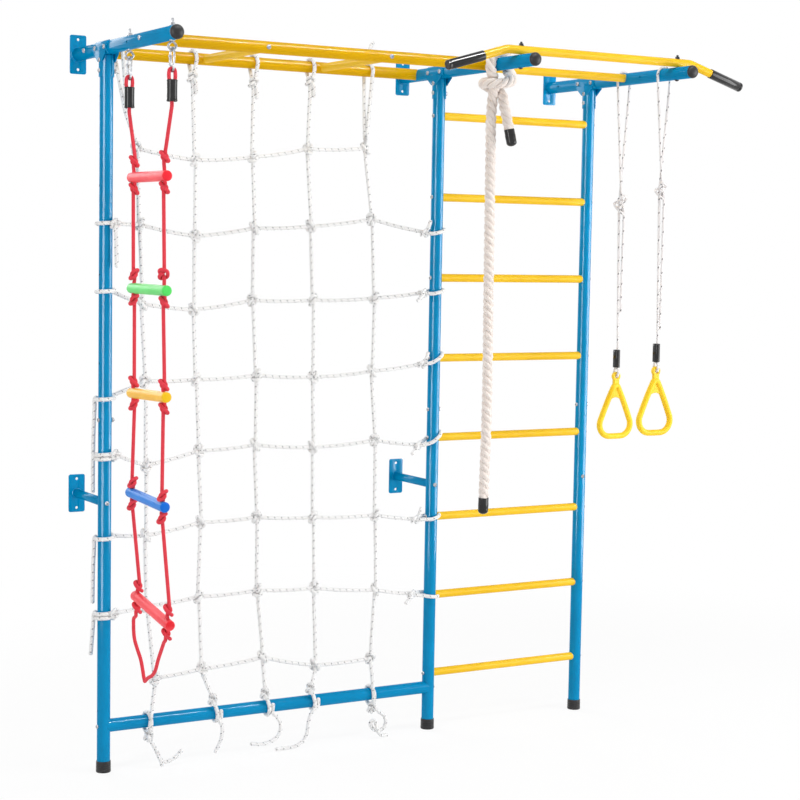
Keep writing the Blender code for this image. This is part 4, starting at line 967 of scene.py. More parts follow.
def make_ladder_rope():
    line = ladder_rope_line()
    shape = Shape().sweep(line, LADDER_ROPE_RADIUS * 1.04, 16, relief=cord_relief(0.022, 0.10))
    rope = piece("red_ladder_rope", shape, RED_CORD, "rope_ladder", "ladder_rope")
    for name, y in LADDER_HANG_Y.items():
        made = sleeve((LEFT, y, SLEEVE_TOP_Z - SLEEVE_LENGTH))
        piece(f"{name}_ladder_sleeve", made, GLOSS_BLACK, "rope_ladder")


def under_arm(places):
    return [at(across, ROPE_Y + along, ARM_Z - drop) for across, along, drop in places]


def climbing_rope_line():
    """From the bottom end up, over the middle arm, round its own hanging part, and down the tail."""
    radius = POST_RADIUS + GAP + ROPE_RADIUS + 0.0012
    over = [
        at(radius * cos(radians(angle)), ROPE_Y + along, ARM_Z + radius * sin(radians(angle)))
        for angle, along in ROPE_OVER
    ]
    route = [at(0, ROPE_Y, ROPE_END_Z)] + under_arm(ROPE_HANG) + over + under_arm(ROPE_WRAP_AND_TAIL)
    return smooth(route, 0.004)


def rope_cap(end, out, chance):
    """A rumpled cap on the end of the climbing rope."""
    length, radius = ROPE_CAP_LENGTH, ROPE_RADIUS - 0.0004
    rumple = chance.uniform(-0.035, 0.035, (24, 40))
    beside = np.roll(rumple, 1, axis=1) + np.roll(rumple, -1, axis=1) + np.roll(rumple, 1, axis=0)
    rumple = (rumple + beside) / 2
    profile = [(0, 0.006), (radius - 0.0035, 0.003), (radius - 0.0014, 0), (radius - 0.0004, 0)]
    profile += [(radius, 0.0015)]
    profile += [
        (radius * (1 - 0.015 * sin(9 * t)), 0.0015 + t * (length - 0.0125))
        for t in (0.15, 0.3, 0.45, 0.6, 0.75, 0.9, 1.0)
    ]
    profile += [
        (radius * cos(a), length - 0.011 + 0.011 * sin(a)) for a in (0.3, 0.6, 0.9, 1.2, 1.4)
    ]

    def bumps(angle, j):
        return 1 + float(rumple[j % 24, round(angle * 40 / TURN) % 40]) * (0.4 if j > 3 else 0.05)

    start = Vector(end) - out * (length - 0.008 - GAP)
    return Shape().turned(profile + [(0, length)], 40, start, out, bumps)


def make_climbing_rope():
    line = climbing_rope_line()
    _, across, up = directions(line)
    along = lengths(line)
    bend = np.array(under_arm(ROPE_WRAP_AND_TAIL)[0])
    turn = float(along[np.argmin(np.linalg.norm(line - bend, axis=1))])
    # The strands draw together inside the caps, and open where the rope leaves the arm
    inside = np.clip(0.8 + (np.minimum(along, along[-1] - along) - 0.039) / 0.030, 0.80, 1)
    helix = STRAND_OFFSET * inside**2 * (1 + 0.45 * np.exp(-(((along - turn) / 0.030) ** 2)))
    shape = Shape()
    for i in range(3):
        phase = (-TURN * along / STRAND_PITCH + TURN * i / 3)[:, None]
        out = across * np.cos(phase) + up * np.sin(phase)
        strand = line + helix[:, None] * out
        # Each strand's places start on its outer side, so that its finish paints shade on the inner
        # side.
        shape.sweep(strand, STRAND_RADIUS, 22, start=0.037 * i, round_ends=False, outward=out)
    rope = piece("laid_cotton_rope", shape, COTTON, "hanging_rope", "climbing_rope", limit=60)
    for name, end, before, seed in (("bottom", 0, 11, 11), ("tail", -1, -12, 7)):
        out = Vector(line[end] - line[before]).normalized()
        cap = rope_cap(line[end], out, np.random.default_rng(seed))
        node = f"rope_cap_{name}"
        piece(f"{name}_rope_cap", cap, GLOSS_BLACK, "hanging_rope", node, limit=60)


def ring_rope_line(name):
    """From the loose end to the knot, over the arm, back through the knot, and through the lug."""
    y, hole_z = RING_PLACES[name]
    knot_z, size, tail_z = RING_KNOTS[name]
    radius = POST_RADIUS + GAP + RING_ROPE_RADIUS
    beside = RING_ROPE_RADIUS + GAP
    foot = hole_z + RING_SLEEVE_DROP
    top = foot + RING_SLEEVE_LENGTH
    lift = RING_LUG_THICKNESS / 2 + 2 * GAP + RING_ROPE_RADIUS
    knot, other = (
        knot_at(
            (RIGHT + 0.003 * sign, y + aside, knot_z + 0.005 * size * sign), (-0.10 * sign, 0, sign),
            (0.9 * sign, 0.4 * sign, 0), RING_ROPE_RADIUS * size,
        )
        for sign, aside in ((1, -0.004), (-1, 0.003))
    )
    end = at(RIGHT + 0.009, y - 0.003, tail_z)
    route = [end, end + at(0, 0, 0.03)]
    route += straight_run(end + at(0, 0, 0.04), knot[0] + at(0.003, 0, -0.008)) + knot
    loop = [
        at(RIGHT - radius * cos(pi * i / 10), y + 0.002 - 0.0004 * i, ARM_Z + radius * sin(pi * i / 10))
        for i in range(11)
    ]
    route += straight_run(knot[-1], loop[0]) + loop + straight_run(loop[-1], other[0]) + other
    route += straight_run(other[-1], at(RIGHT, y - beside, top + 0.02))
    high = RING_LUG_RADIUS + GAP
    way = [(-beside, top + 0.03), (-beside, foot), (-lift, hole_z + high), (-lift, hole_z + 0.005)]
    way += [(-lift * 0.85, hole_z + 0.0012), (0, hole_z + 0.0004), (lift * 0.85, hole_z + 0.0012)]
    way += [(lift, hole_z + 0.005), (lift, hole_z + high), (beside, foot), (beside, top - 0.006)]
    return smooth(route + [at(RIGHT, y + out, z) for out, z in way], 0.0022)


def oval(half_long, half_short, steps=10):
    """Outline with straight sides and round ends, its long way along the second direction."""
    points = []
    for sign in (1, -1):
        for angle in (pi * i / steps for i in range(steps + 1)):
            end = half_long - half_short + half_short * sin(angle)
            points.append((half_short * cos(angle) * sign, end * sign))
    return points


def make_ring_ropes():
    for name, (y, hole_z) in RING_PLACES.items():
        line = ring_rope_line(name)
        body = f"{name}_ring_rope"
        shape = Shape().sweep(line, RING_ROPE_RADIUS, 16, relief=cord_relief(0.020, 0.10))
        rope = piece(f"{name}_ring_cord", shape, RING_CORD, body, f"ring_rope_{name}")
        centre = Matrix.Translation((RIGHT, y, hole_z + RING_SLEEVE_DROP + RING_SLEEVE_LENGTH / 2))
        block = prism(oval(*RING_SLEEVE_HALF), RING_SLEEVE_LENGTH, centre)
        made = as_object(f"{name}_ring_sleeve", block)
        mouth = oval(2 * RING_ROPE_RADIUS + 2 * GAP, RING_ROPE_RADIUS + GAP)
        soften(with_cutter(made, prism(mouth, RING_SLEEVE_LENGTH * 1.2, centre)), 0.0012, 3)
        dress(made, GLOSS_BLACK, body, f"ring_sleeve_{name}")


# Climbing net

def net_knot(row, column):
    sway_x, sway_z = NET_SWAY[row][column]
    x = LEFT + NET_COLUMNS[column] + sway_x / 1000
    return at(x, NET_DEPTH[row], NET_TOP_Z - NET_MESH * row + sway_z / 1000)


def around_tie(centre, knot, radius, tilt=0.0, upright=True):
    """A loop from a knot round an upright tube, or one along X, and back."""
    centre, knot = Vector(centre), Vector(knot)
    along = Vector(UP) if upright else at(1, 0, 0)
    towards = knot - centre
    towards[2 if upright else 0] = 0
    far = max(radius * 1.02, towards.length)
    towards.normalize()
    beside = along.cross(towards)
    opening = degrees(acos(radius / far)) * 0.96
    points = [knot - along * 0.003]
    for i in range(13):
        angle = radians(opening + (360 - 2 * opening) * i / 12)
        point = centre + (towards * cos(angle) + beside * sin(angle)) * radius
        point += along * (0.007 * (i / 12 - 0.5))
        point.z += tilt * (point.x - centre.x) / radius
        points.append(point)
    points.append(knot + along * 0.003)
    if far > radius + 0.03:
        out, back = straight_run(points[0], points[1]), straight_run(points[-2], points[-1])
        points = points[:1] + out + points[1:-1] + back + points[-1:]
    return smooth(points, 0.003)


def make_net():
    shape = Shape()
    radius = NET_ROPE_RADIUS
    relief = cord_relief(0.030, 0.16)
    rail_wrap = RAIL_RADIUS + GAP + radius
    post_wrap = POST_RADIUS + GAP + radius
    chance = np.random.default_rng(5)

    def cord(line, start=0.0, swell=1.0):
        shape.sweep(line, radius * swell, 16, relief=relief, start=start)

    def loose(*route):
        """A short end of cord."""
        line = smooth([Vector(point) for point in route], 0.004)
        cord(line, float(chance.uniform(0, 0.03)))

    def small_knot(centre, axis, side):
        """A pulled-down overhand knot."""
        cord(smooth(knot_at(centre, axis, side, radius * 0.92), 0.0028), swell=0.80)

    for column in range(len(NET_COLUMNS)):
        knots = [net_knot(row, column) for row in range(NET_ROWS)]
        rail_x = LEFT + NET_RAIL_X[column]
        foot_x = LEFT + NET_FOOT_X[column]
        drop = NET_HITCH_DROP[column]
        small = bool(drop) and drop < 0.1
        hitch = knots[0] + at(0, 0, 0.028)
        if drop:
            hitch = at(rail_x + (-0.007 if small else 0.018), REAR_RAIL_Y - 0.016, RAIL_Z - drop)
        below = column in (0, 4)
        foot_rise = -0.040 if below else 0.044
        foot = at(foot_x - (0 if below else 0.014), -0.018, BOTTOM_BAR_Z + foot_rise)
        front = at(foot_x, -post_wrap * 1.02, BOTTOM_BAR_Z)
        route = [hitch, hitch + at(0, -0.001, -0.006)]
        for i, knot in enumerate(knots):
            above = knots[i - 1] if i else hitch
            under = knots[i + 1] if i + 1 < NET_ROWS else front
            side = (cos(2.1 * i + column), sin(2.1 * i + column), 0)
            points = knot_at(knot, (under - above).normalized(), side, radius)
            route += straight_run(route[-1], points[0]) + points
        end = [front, foot] if below else [foot]
        route += straight_run(route[-1], end[0]) + end
        cord(smooth(route, 0.0032), 0.01 * column)
        cord(around_tie((rail_x, REAR_RAIL_Y, RAIL_Z), hitch, rail_wrap, upright=False))
        cord(around_tie((foot_x, 0, BOTTOM_BAR_Z), foot, post_wrap, upright=False))
        if small:
            small_knot(hitch, (0.2, -0.2, 1), (1, 0.4, 0))
            drops = metres((0, 0, 0), (5, -8, -12), (7, -10, -28), (6, -10, -46))
            loose(*(hitch + Vector(step) for step in drops))
        small_knot(foot, (0.3, 0.1, 1), (1, -0.4, 0))
        tail = BAR_TAILS[column]
        start = [foot] if below else [front + at(0.009, 0.002, 0.010), front + at(0.009, 0.004, -0.012)]
        loose(*start, *tail)
        if column == 0:
            loose(tail[2], *BAR_TAIL_END)
        if column == 4:
            over = at(rail_x, REAR_RAIL_Y, RAIL_Z + rail_wrap)
            rises = metres((0, 0, 0), (-2, -4, 16), (-3, -6, 34), (2, -6, 49), (11, -6, 64))
            loose(*(over + Vector(step) for step in rises))

    for row in range(NET_ROWS):
        knots = [net_knot(row, column) for column in range(len(NET_COLUMNS))]
        if 0 < row < NET_ROWS - 1:
            left_z, aside, back = LEFT_TIES[row - 1]
            height, tilt, reach = MIDDLE_TIES[row - 1]
            first = at(LEFT + aside, back, left_z + 0.004)
            last = at(MIDDLE - reach, -0.004, height - tilt * 1.4 + 0.004)
            cord(around_tie((LEFT, 0, left_z), first, post_wrap))
            cord(around_tie((MIDDLE, 0, height), last, post_wrap, tilt))
            small_knot(first, (1, 0, 0.15), (0, -0.3, 1))
            small_knot(last, (1, 0, -0.1), (0, -0.5, 1))
            if row in DOUBLE_TIES:
                low = at(0, 0, 2 * radius)
                cord(around_tie((LEFT, 0, left_z - low.z), first - low, post_wrap))
            if row - 1 in POST_TAILS:
                loose(*POST_TAILS[row - 1])
            poke = at(0.012, -0.012, 0.034) if row % 2 else at(-0.030, -0.014, -0.026)
            loose(last, last + poke * 0.4 + at(0, -0.006, 0), last + poke)
            knots = [first] + knots + [last]
        points = [knots[0]]
        for here, there in zip(knots, knots[1:]):
            sag = NET_SAG * (there - here).length
            for share in (0.12, 0.3, 0.5, 0.7, 0.88):
                points.append(here.lerp(there, share) + at(0, 0, -4 * sag * share * (1 - share)))
            points.append(there)
        cord(smooth(points, 0.004), 0.007 * row)
    piece("knotted_climbing_net", shape, NET_CORD, "frame", "climbing_net", limit=70)


# Tubes

def make_posts():
    for side, x in POST_X.items():
        start = (x, 0, 0)
        stops = [z + offset for z in RUNG_Z for offset in (-0.012, 0.012)]
        halves = (("lower", 0.0053, SEAM_Z), ("upper", SEAM_Z + 0.0006, ARM_Z - POST_RADIUS - GAP))
        for half, low, high in halves:
            profile = tube_profile(POST_RADIUS, POST_WALL, low, high, stops)
            item = as_object(f"{side}_post_{half}_tube", Shape().turned(profile, 56, start))
            if half == "lower":
                inner = POST_RADIUS - POST_WALL - GAP
                spigot = tube_profile(inner, POST_WALL, SEAM_Z - 0.004, SEAM_Z + 0.080)
                with_cutter(item, Shape().turned(spigot, 56, start), "UNION")
            if side == "left":
                left_holes(item, [(x, 0, z) for z in RUNG_Z if low < z < high])
            dress(item, BLUE, "frame", f"post_{side}_{half}")
        bolts = Shape()
        bolt_through(bolts, x, 0, SEAM_Z + 0.038, POST_RADIUS)
        out = 1 if side == "right" else -1
        for z in RUNG_Z if side != "left" else ():
            dome_head(bolts, (x + out * POST_RADIUS, 0, z), (out, 0, 0))
        dome_head(bolts, (x, -POST_RADIUS, BRACKET_Z), FRONT)
        if side != "right":
            out = 1 if side == "middle" else -1
            dome_head(bolts, (x + out * POST_RADIUS, 0, BOTTOM_BAR_Z), (out, 0, 0))
        piece(f"{side}_post_bolts", bolts, ZINC, "frame")


def make_feet():
    profile = [(0, 0.4), (18, 0.4), (19, 0), (20.5, 0.4), (21.4, 2), (21.5, 5)]
    for z in (9.5, 15.5, 21.5):
        profile += [(21.3, z), (20.5, z + 0.8), (20.5, z + 1.6), (21.2, z + 2.4)]
    profile += [(20.9, 31), (20.5, 32.7), (19.8, 33), (19.3, 32.5), (19.3, 5.2), (0, 5.2)]
    for side, x in POST_X.items():
        foot = Shape().turned(metres(*profile), 48, (x, 0, 0))
        piece(f"{side}_ribbed_foot", foot, RUBBER, "frame", f"foot_{side}")


def plate(x, z):
    """A wall plate with rounded corners and edges, and two screw holes."""
    size_x, size_y, size_z = PLATE_SIZE
    corner = 0.006
    outline = []
    for right, top, start in ((1, 1, 0), (-1, 1, 90), (-1, -1, 180), (1, -1, 270)):
        for angle in (radians(start + 15 * i) for i in range(7)):
            across = right * (size_x / 2 - corner) + corner * cos(angle)
            outline.append((across, top * (size_z / 2 - corner) + corner * sin(angle)))
    item = as_object("plate", prism(outline, size_y, facing((x, WALL_Y - size_y / 2, z))))
    heights = (z + PLATE_HOLE_DROP, z - PLATE_HOLE_DROP)
    drill(item, [((x, WALL_Y - 0.02, hole), (x, WALL_Y + 0.02, hole)) for hole in heights], 0.004)
    return soften(item, 0.0005)


def weld_bead(x, z, radius):
    """A bead of overlapping weld ripples round a tube at its wall plate."""
    angles = [TURN * i / 156 for i in range(156)]
    out, y = radius + 0.0006, WALL_Y - PLATE_SIZE[1] - 0.0006
    line = [(x + cos(a) * out, y, z + sin(a) * out) for a in angles]
    size = np.array([0.0024 * (1 + 0.13 * abs(cos(13 * a))) for a in angles])
    return as_object("bead", Shape().sweep(line, size, 10, closed=True))


def weld_to_wall(name, item, x, z, radius, node):
    """A tube, its wall plate and the bead between them as one piece, each its own shell."""
    data = bpy.data.meshes.new(name)
    whole = bmesh.new()
    for part in (item, plate(x, z), weld_bead(x, z, radius)):
        whole.from_mesh(part.data)
        discard(part)
    whole.to_mesh(data)
    whole.free()
    shade(data, 50)
    dress(linked(name, data), BLUE, "frame", node)


def make_arms():
    dome = [(0, -18), (17, -18), (17.2, -1.2), (19, -1), (19.5, -0.4), (19.5, 0.6)]
    dome += [(19.5 * cos(a), 14 * sin(a)) for a in (0.12, 0.3, 0.5, 0.7, 0.9, 1.1, 1.28, 1.43)]
    for side, x in POST_X.items():
        reach, holes = ARM_REACH[side], ARM_HOLES[side]
        stops = [y + reach + offset for y in holes for offset in (-0.012, 0.012)]
        start, end = (x, -reach, ARM_Z), (x, WALL_Y - 0.002, ARM_Z)
        arm = as_object(f"{side}_arm_tube", tube(POST_RADIUS, POST_WALL, start, end, stops, 56))
        if holes:
            left_holes(arm, [(x, y, ARM_Z) for y in holes])
        weld_to_wall(f"{side}_welded_arm", arm, x, ARM_Z, POST_RADIUS, f"arm_{side}")
        cap = Shape().turned(metres(*dome, (0, 14)), 48, (x, -reach - 0.001 - GAP, ARM_Z), FRONT)
        piece(f"{side}_arm_dome", cap, RUBBER, "frame", f"arm_cap_{side}", limit=50)
    for side, x in (("left", LEFT), ("middle", MIDDLE)):
        start, end = (x, 0.012, BRACKET_Z), (x, WALL_Y - 0.002, BRACKET_Z)
        stub = as_object("stub", tube(RUNG_RADIUS, POST_WALL, start, end))
        weld_to_wall(f"{side}_welded_bracket", stub, x, BRACKET_Z, RUNG_RADIUS, f"wall_bracket_{side}")


def make_clamps():
    inner = POST_RADIUS + GAP
    # The pressed stock overlaps the bores, which are cut afterwards
    overlap = 0.0009
    flange = POST_RADIUS * sin(SHELL_WRAP)
    reach = POST_RADIUS + SHELL_GUSSET
    edge = POST_RADIUS - flange * 0.55
    low = edge + SHELL_GUSSET
    half = [(flange * 0.8, -low), (reach, -edge), (reach + 0.003, 0.0)]
    gusset = [(-u, v) for u, v in reversed(half)] + half
    # Turns an outline to look along X
    sideways = Matrix(((0, 0, 1, 0), (1, 0, 0, 0), (0, 1, 0, 0), (0, 0, 0, 1)))
    for side, x in POST_X.items():
        for hand, sign, middle in (("left", -1, pi), ("right", 1, 0.0)):
            angles = [middle - SHELL_WRAP + 2 * SHELL_WRAP * i / 18 for i in range(19)]
            band = [
                (size * cos(a), size * sin(a))
                for size, way in ((inner + SHELL_THICKNESS, 1), (inner - overlap, -1))
                for a in angles[::way]
            ]
            shell = prism(band, 2 * SHELL_HALF, facing((x, 0, ARM_Z)))
            item = as_object(f"{side}_clamp_{hand}_shell", shell)
            down = Matrix.Translation((x, 0, ARM_Z - SHELL_DROP / 2))
            with_cutter(item, prism(band, SHELL_DROP, down), "UNION")
            out = sign * (inner + SHELL_THICKNESS / 2)
            place = Matrix.Translation((x + out, 0, ARM_Z - flange * 0.55)) @ sideways
            with_cutter(item, prism(gusset, SHELL_THICKNESS - 0.0006, place), "UNION")
            with_cutter(item, Shape().turned(rod(inner, 0.4), 56, (x, -0.2, ARM_Z), BACK))
            with_cutter(item, Shape().turned(rod(inner, 0.2), 56, (x, 0, ARM_Z - 0.2)))
            soften(item, 0.0006, angle=40)
            dress(item, BLUE, "frame", f"clamp_{side}_{hand}")
        bolts = Shape()
        for y, z in ((-0.035, ARM_Z), (0.035, ARM_Z), (0, ARM_Z - 0.034), (0, ARM_Z - 0.063)):
            bolt_through(bolts, x, y, z, inner + SHELL_THICKNESS - 0.0002)
        piece(f"{side}_clamp_bolts", bolts, ZINC, "frame")


def make_bars():
    def bar(name, finish, node, radius, wall, start, end):
        steps = 48 if radius == RUNG_RADIUS else 56
        piece(name, tube(radius, wall, start, end, (), steps), finish, "frame", node)

    def cross_bar(name, node, y, z):
        start, end = (MIDDLE + 0.0145, y, z), (RIGHT - 0.0145, y, z)
        bar(name, YELLOW, node, RUNG_RADIUS, RUNG_WALL, start, end)

    for i, z in enumerate(RUNG_Z):
        cross_bar(f"wall_rung_{i + 1}", f"rung_{i + 1}", 0, z)
    start, end = (LEFT + 0.004, 0, BOTTOM_BAR_Z), (MIDDLE - 0.004, 0, BOTTOM_BAR_Z)
    bar("net_foot_bar", BLUE, "bottom_bar", POST_RADIUS, POST_WALL, start, end)
    bolts = Shape()
    for name, y in (("rear", REAR_RAIL_Y), ("front", FRONT_RAIL_Y)):
        start, end = (LEFT + 0.008, y, RAIL_Z), (MIDDLE - 0.008, y, RAIL_Z)
        node = f"monkey_rail_{name}"
        bar(f"long_rail_{name}", DEEP_YELLOW, node, RAIL_RADIUS, POST_WALL, start, end)
        dome_head(bolts, (LEFT - POST_RADIUS, y, RAIL_Z), (-1, 0, 0))
        dome_head(bolts, (MIDDLE + POST_RADIUS, y, RAIL_Z), (1, 0, 0))
    for i, x in enumerate(MONKEY_RUNG_X):
        start, end = (x, FRONT_RAIL_Y + 0.0125, RAIL_Z), (x, REAR_RAIL_Y - 0.0125, RAIL_Z)
        node = f"monkey_rung_{i + 1}"
        bar(f"overhead_rung_{i + 1}", YELLOW, node, RUNG_RADIUS, RUNG_WALL, start, end)
        dome_head(bolts, (x, FRONT_RAIL_Y - RAIL_RADIUS, RAIL_Z), FRONT)
        dome_head(bolts, (x, REAR_RAIL_Y + RAIL_RADIUS, RAIL_Z), (0, 1, 0))
    cross_bar("overhead_tie_rail", "ladder_rail", LADDER_RAIL_Y, RAIL_Z)
    dome_head(bolts, (MIDDLE - POST_RADIUS, LADDER_RAIL_Y, RAIL_Z), (-1, 0, 0))
    dome_head(bolts, (RIGHT + POST_RADIUS, LADDER_RAIL_Y, RAIL_Z), (1, 0, 0))
    piece("rail_bolts", bolts, ZINC, "frame")
    bolts = Shape()
    for x in (MIDDLE, RIGHT):
        washer(bolts, (x, PULL_UP_Y, PULL_UP_Z + RUNG_RADIUS - 0.0006), UP)
        hex_nut(bolts, (x, PULL_UP_Y, PULL_UP_Z + RUNG_RADIUS + 0.0006), UP, proud=0.005)
        dome_head(bolts, (x, PULL_UP_Y, ARM_Z - POST_RADIUS), DOWN)
    piece("pull_up_bolts", bolts, DARK_STEEL, "frame")


def pull_up_line():
    bend, radius = PULL_UP_BEND, PULL_UP_BEND_RADIUS
    half = radius * tan(bend / 2)
    points = []
    for x, sign in ((MIDDLE - PULL_UP_STRAIGHT, -1), (RIGHT + PULL_UP_STRAIGHT, 1)):
        arc = [
            at(x + sign * (radius * sin(a) - half), PULL_UP_Y, PULL_UP_Z - radius * (1 - cos(a)))
            for a in (bend * i / 8 for i in range(9))
        ]
        end = arc[-1] + at(sign * cos(bend), 0, -sin(bend)) * (PULL_UP_END - half)
        points += (arc + [arc[-1].lerp(end, 0.5), end])[::sign]
    return points


def make_pull_up_bar():
    line = pull_up_line()
    bar = Shape().sweep(line, RUNG_RADIUS, 48, round_ends=False)
    piece("bent_pull_up_bar", bar, YELLOW, "frame", "pull_up_bar")
    # Distances in from the grip's outside, and along it from its mouth and then from its end
    mouth = metres((1, 0), (0.2, 0.6), (0, 1.8), (0, 4))
    tip = metres((0, 11.2), (0.6, 10.4), (0.6, 9.4), (0, 8.6), (0, 3), (0.6, 1.2), (2.2, 0))
    profile = [(0, 0.110), (0.0128, 0.110), (0.0128, 0)] + [(GRIP_RADIUS - u, v) for u, v in mouth]
    profile += [(GRIP_RADIUS - u, GRIP_LENGTH - v) for u, v in tip] + [(0, GRIP_LENGTH - 0.0004)]
    for side, end, before in (("left", line[0], line[1]), ("right", line[-1], line[-2])):
        out = (end - before).normalized()
        grip = Shape().turned(profile, 44, end - out * (GRIP_LENGTH - 0.004 - GAP), out)
        piece(f"{side}_bar_grip", grip, GLOSS_BLACK, "frame", f"grip_{side}")


# Rope ladder fittings

def make_eye_bolts():
    for name, y in LADDER_HANG_Y.items():
        ring = []
        for angle in (TURN * i / 40 for i in range(40)):
            square = (abs(cos(angle)) ** 1.45 + abs(sin(angle)) ** 1.45) ** (-1 / 1.45)
            size = EYE_RADIUS * 1.04 * square
            ring.append((LEFT + size * cos(angle), y, EYE_Z + size * sin(angle)))
        shape = Shape().sweep(ring, EYE_ROD, 14, closed=True)
        neck = [(LEFT, y, z) for z in (EYE_Z + EYE_RADIUS - 0.001, EYE_Z + EYE_RADIUS + 0.005, ARM_Z)]
        shape.sweep(neck, 0.0036, 20, round_ends=False)
        top = ARM_Z + POST_RADIUS
        washer(shape, (LEFT, y, ARM_Z - POST_RADIUS + 0.0008), DOWN)
        washer(shape, (LEFT, y, top - 0.0008), UP, 0.0085)
        hex_nut(shape, (LEFT, y, top + 0.0003), UP, 0.0062, 0.0066, 0.0038, 0.012)
        piece(f"{name}_diamond_eye", shape, ZINC, "frame", f"eye_bolt_{name}")


def make_hooks():
    rivet = metres((0, 0), (1.4, 0), (1.8, 0.4), (1.8, 10), (1.4, 10.4), (0, 10.4))
    wide_z, narrow_z = HOOK_TOP_Z - HOOK_WIDE, HOOK_BOTTOM_Z + HOOK_NARROW
    for name, y in LADDER_HANG_Y.items():
        points = [
            (LEFT, y - HOOK_WIDE * cos(pi * i / 16), wide_z + HOOK_WIDE * sin(pi * i / 16))
            for i in range(17)
        ]
        points += [
            (LEFT, y + HOOK_NARROW * cos(pi * i / 12), narrow_z - HOOK_NARROW * sin(pi * i / 12))
            for i in range(13)
        ]
        shape = Shape().sweep(smooth(points, 0.002, True), HOOK_ROD, 16, closed=True)
        top = at(LEFT, y + HOOK_WIDE, wide_z - 0.004)
        foot = at(LEFT, y + HOOK_NARROW, narrow_z + 0.006)
        gate = top - foot
        long = gate.length
        profile = [(0, 0), (0.0032, 0), (0.0041, 0.0010), (0.0041, long - 0.004)]
        profile += [(0.0036, long - 0.002), (0.0028, long), (0, long)]
        shape.turned(profile, 22, foot, gate)
        for end in (foot + gate * 0.10, top - gate * 0.10):
            shape.turned(rivet, 14, end - at(0.0052, 0, 0), (1, 0, 0))
        piece(f"{name}_snap_link", shape, ZINC, "rope_ladder", f"snap_hook_{name}", limit=45)


def make_steps():
    half, edge = STEP_LENGTH / 2, 0.0045
    crown = [
        (STEP_RADIUS - edge + edge * cos(a), half - edge + edge * sin(a))
        for a in (0.0, 0.3, 0.6, 0.9, 1.2, pi / 2)
    ]
    ring = [(STEP_RADIUS, STEP_ROPE_Y - 0.012), (STEP_RADIUS, STEP_ROPE_Y + 0.008)]
    side = ring + crown + [(0, half)]
    profile = [(r, -z) for r, z in reversed(side)] + side
    for name, place in STEP_PLACES.items():
        centre, along, up = ladder_frame(place)
        item = as_object("hollow_" + name, Shape().turned(profile, 48, centre, along))
        spots = [centre + along * offset for offset in (-STEP_ROPE_Y, STEP_ROPE_Y)]
        holes = [(spot - up * 0.03, spot + up * 0.03) for spot in spots]
        drill(item, holes, LADDER_ROPE_RADIUS + 2 * GAP)
        dress(item, STEP_FINISH[name], "rope_ladder", name)


# Rings

def ring_outline(height, width, corner):
    """A rounded triangle, apex up."""
    apex, right, left = at(0, 0, 0), at(width / 2, 0, -height), at(-width / 2, 0, -height)
    points = []
    for here, before, after, radius, steps in (
        (right, apex, left, corner, 14), (left, right, apex, corner, 14), (apex, left, right, 0.010, 8),
    ):
        to_before = (before - here).normalized()
        to_after = (after - here).normalized()
        open_half = to_before.angle(to_after) / 2
        run = radius / tan(open_half)
        middle = here + (to_before + to_after).normalized() * (radius / sin(open_half))
        first = here + to_before * run - middle
        last = here + to_after * run - middle
        for t in (i / steps for i in range(steps + 1)):
            points.append(middle + (first * (1 - t) + last * t).normalized() * radius)
    return points


def make_rings():
    half_lug = RING_LUG_THICKNESS / 2
    lug_side = [(RING_LUG_RADIUS, half_lug - 0.001), (RING_LUG_RADIUS - 0.001, half_lug), (0, half_lug)]
    lug = [(r, -z) for r, z in reversed(lug_side)] + lug_side
    half = RING_WIDTH / 2 * 0.062 / RING_HEIGHT + 0.006
    web = [(0, -0.010), (half, -0.074)]
    web += [(half * 0.80 * cos(pi * i / 14), -0.074 + 0.022 * sin(pi * i / 14)) for i in range(15)]
    web += [(-half, -0.074)]
    neck = [(-0.010, -0.013), (0.010, -0.013), (0.010, 0.013), (-0.010, 0.013)]
    for name, (y, hole_z) in RING_PLACES.items():
        hole = at(RIGHT, y, hole_z)
        apex = hole + at(0, 0, -0.016)
        outline = ring_outline(RING_HEIGHT, RING_WIDTH - 2 * RING_TUBE + 0.024, RING_CORNER)
        line = smooth([apex + point for point in outline], 0.004, True)
        item = as_object(f"{name}_ring_handle", Shape().sweep(line, RING_TUBE, 24, closed=True))
        with_cutter(item, Shape().turned(lug, 40, hole, BACK), "UNION")
        place = facing(hole + at(0, 0, -0.014))
        with_cutter(item, prism(neck, RING_LUG_THICKNESS - 0.0006, place), "UNION")
        with_cutter(item, prism(web, 0.006, facing(apex)), "UNION")
        bore = rod(RING_LUG_HOLE, 0.04)
        with_cutter(item, Shape().turned(bore, 32, hole - at(0, 0.02, 0), BACK))
        change(item, "REMESH", 80, mode="VOXEL", voxel_size=0.0010)
        change(item, "SMOOTH", 80, factor=0.5, iterations=5)
        dress(item, RING_PLASTIC, f"{name}_ring", f"ring_{name}")


# Light and floor

def pieces_in(name, *finishes):
    """The pieces that are made in these finishes, as a collection."""
    group = bpy.data.collections.new(name)
    materials = [finish.material for finish in finishes]
    for item in list(bpy.context.scene.objects):
        if item.type == "MESH" and item.active_material in materials:
            group.objects.link(item)
    return group


def add_light(name, place, aim, size, power, sheen_on=None):
    """A rectangular lamp, or one whose light is seen only as highlights on some pieces."""
    data = bpy.data.lights.new(name, "AREA")
    data.shape = "RECTANGLE"
    data.size, data.size_y = size
    data.energy = power
    item = linked(name, data)
    item.location = place
    item.rotation_euler = (Vector(aim) - Vector(place)).to_track_quat("-Z", "Y").to_euler()
    if sheen_on:
        item.visible_diffuse = False
        item.light_linking.receiver_collection = sheen_on


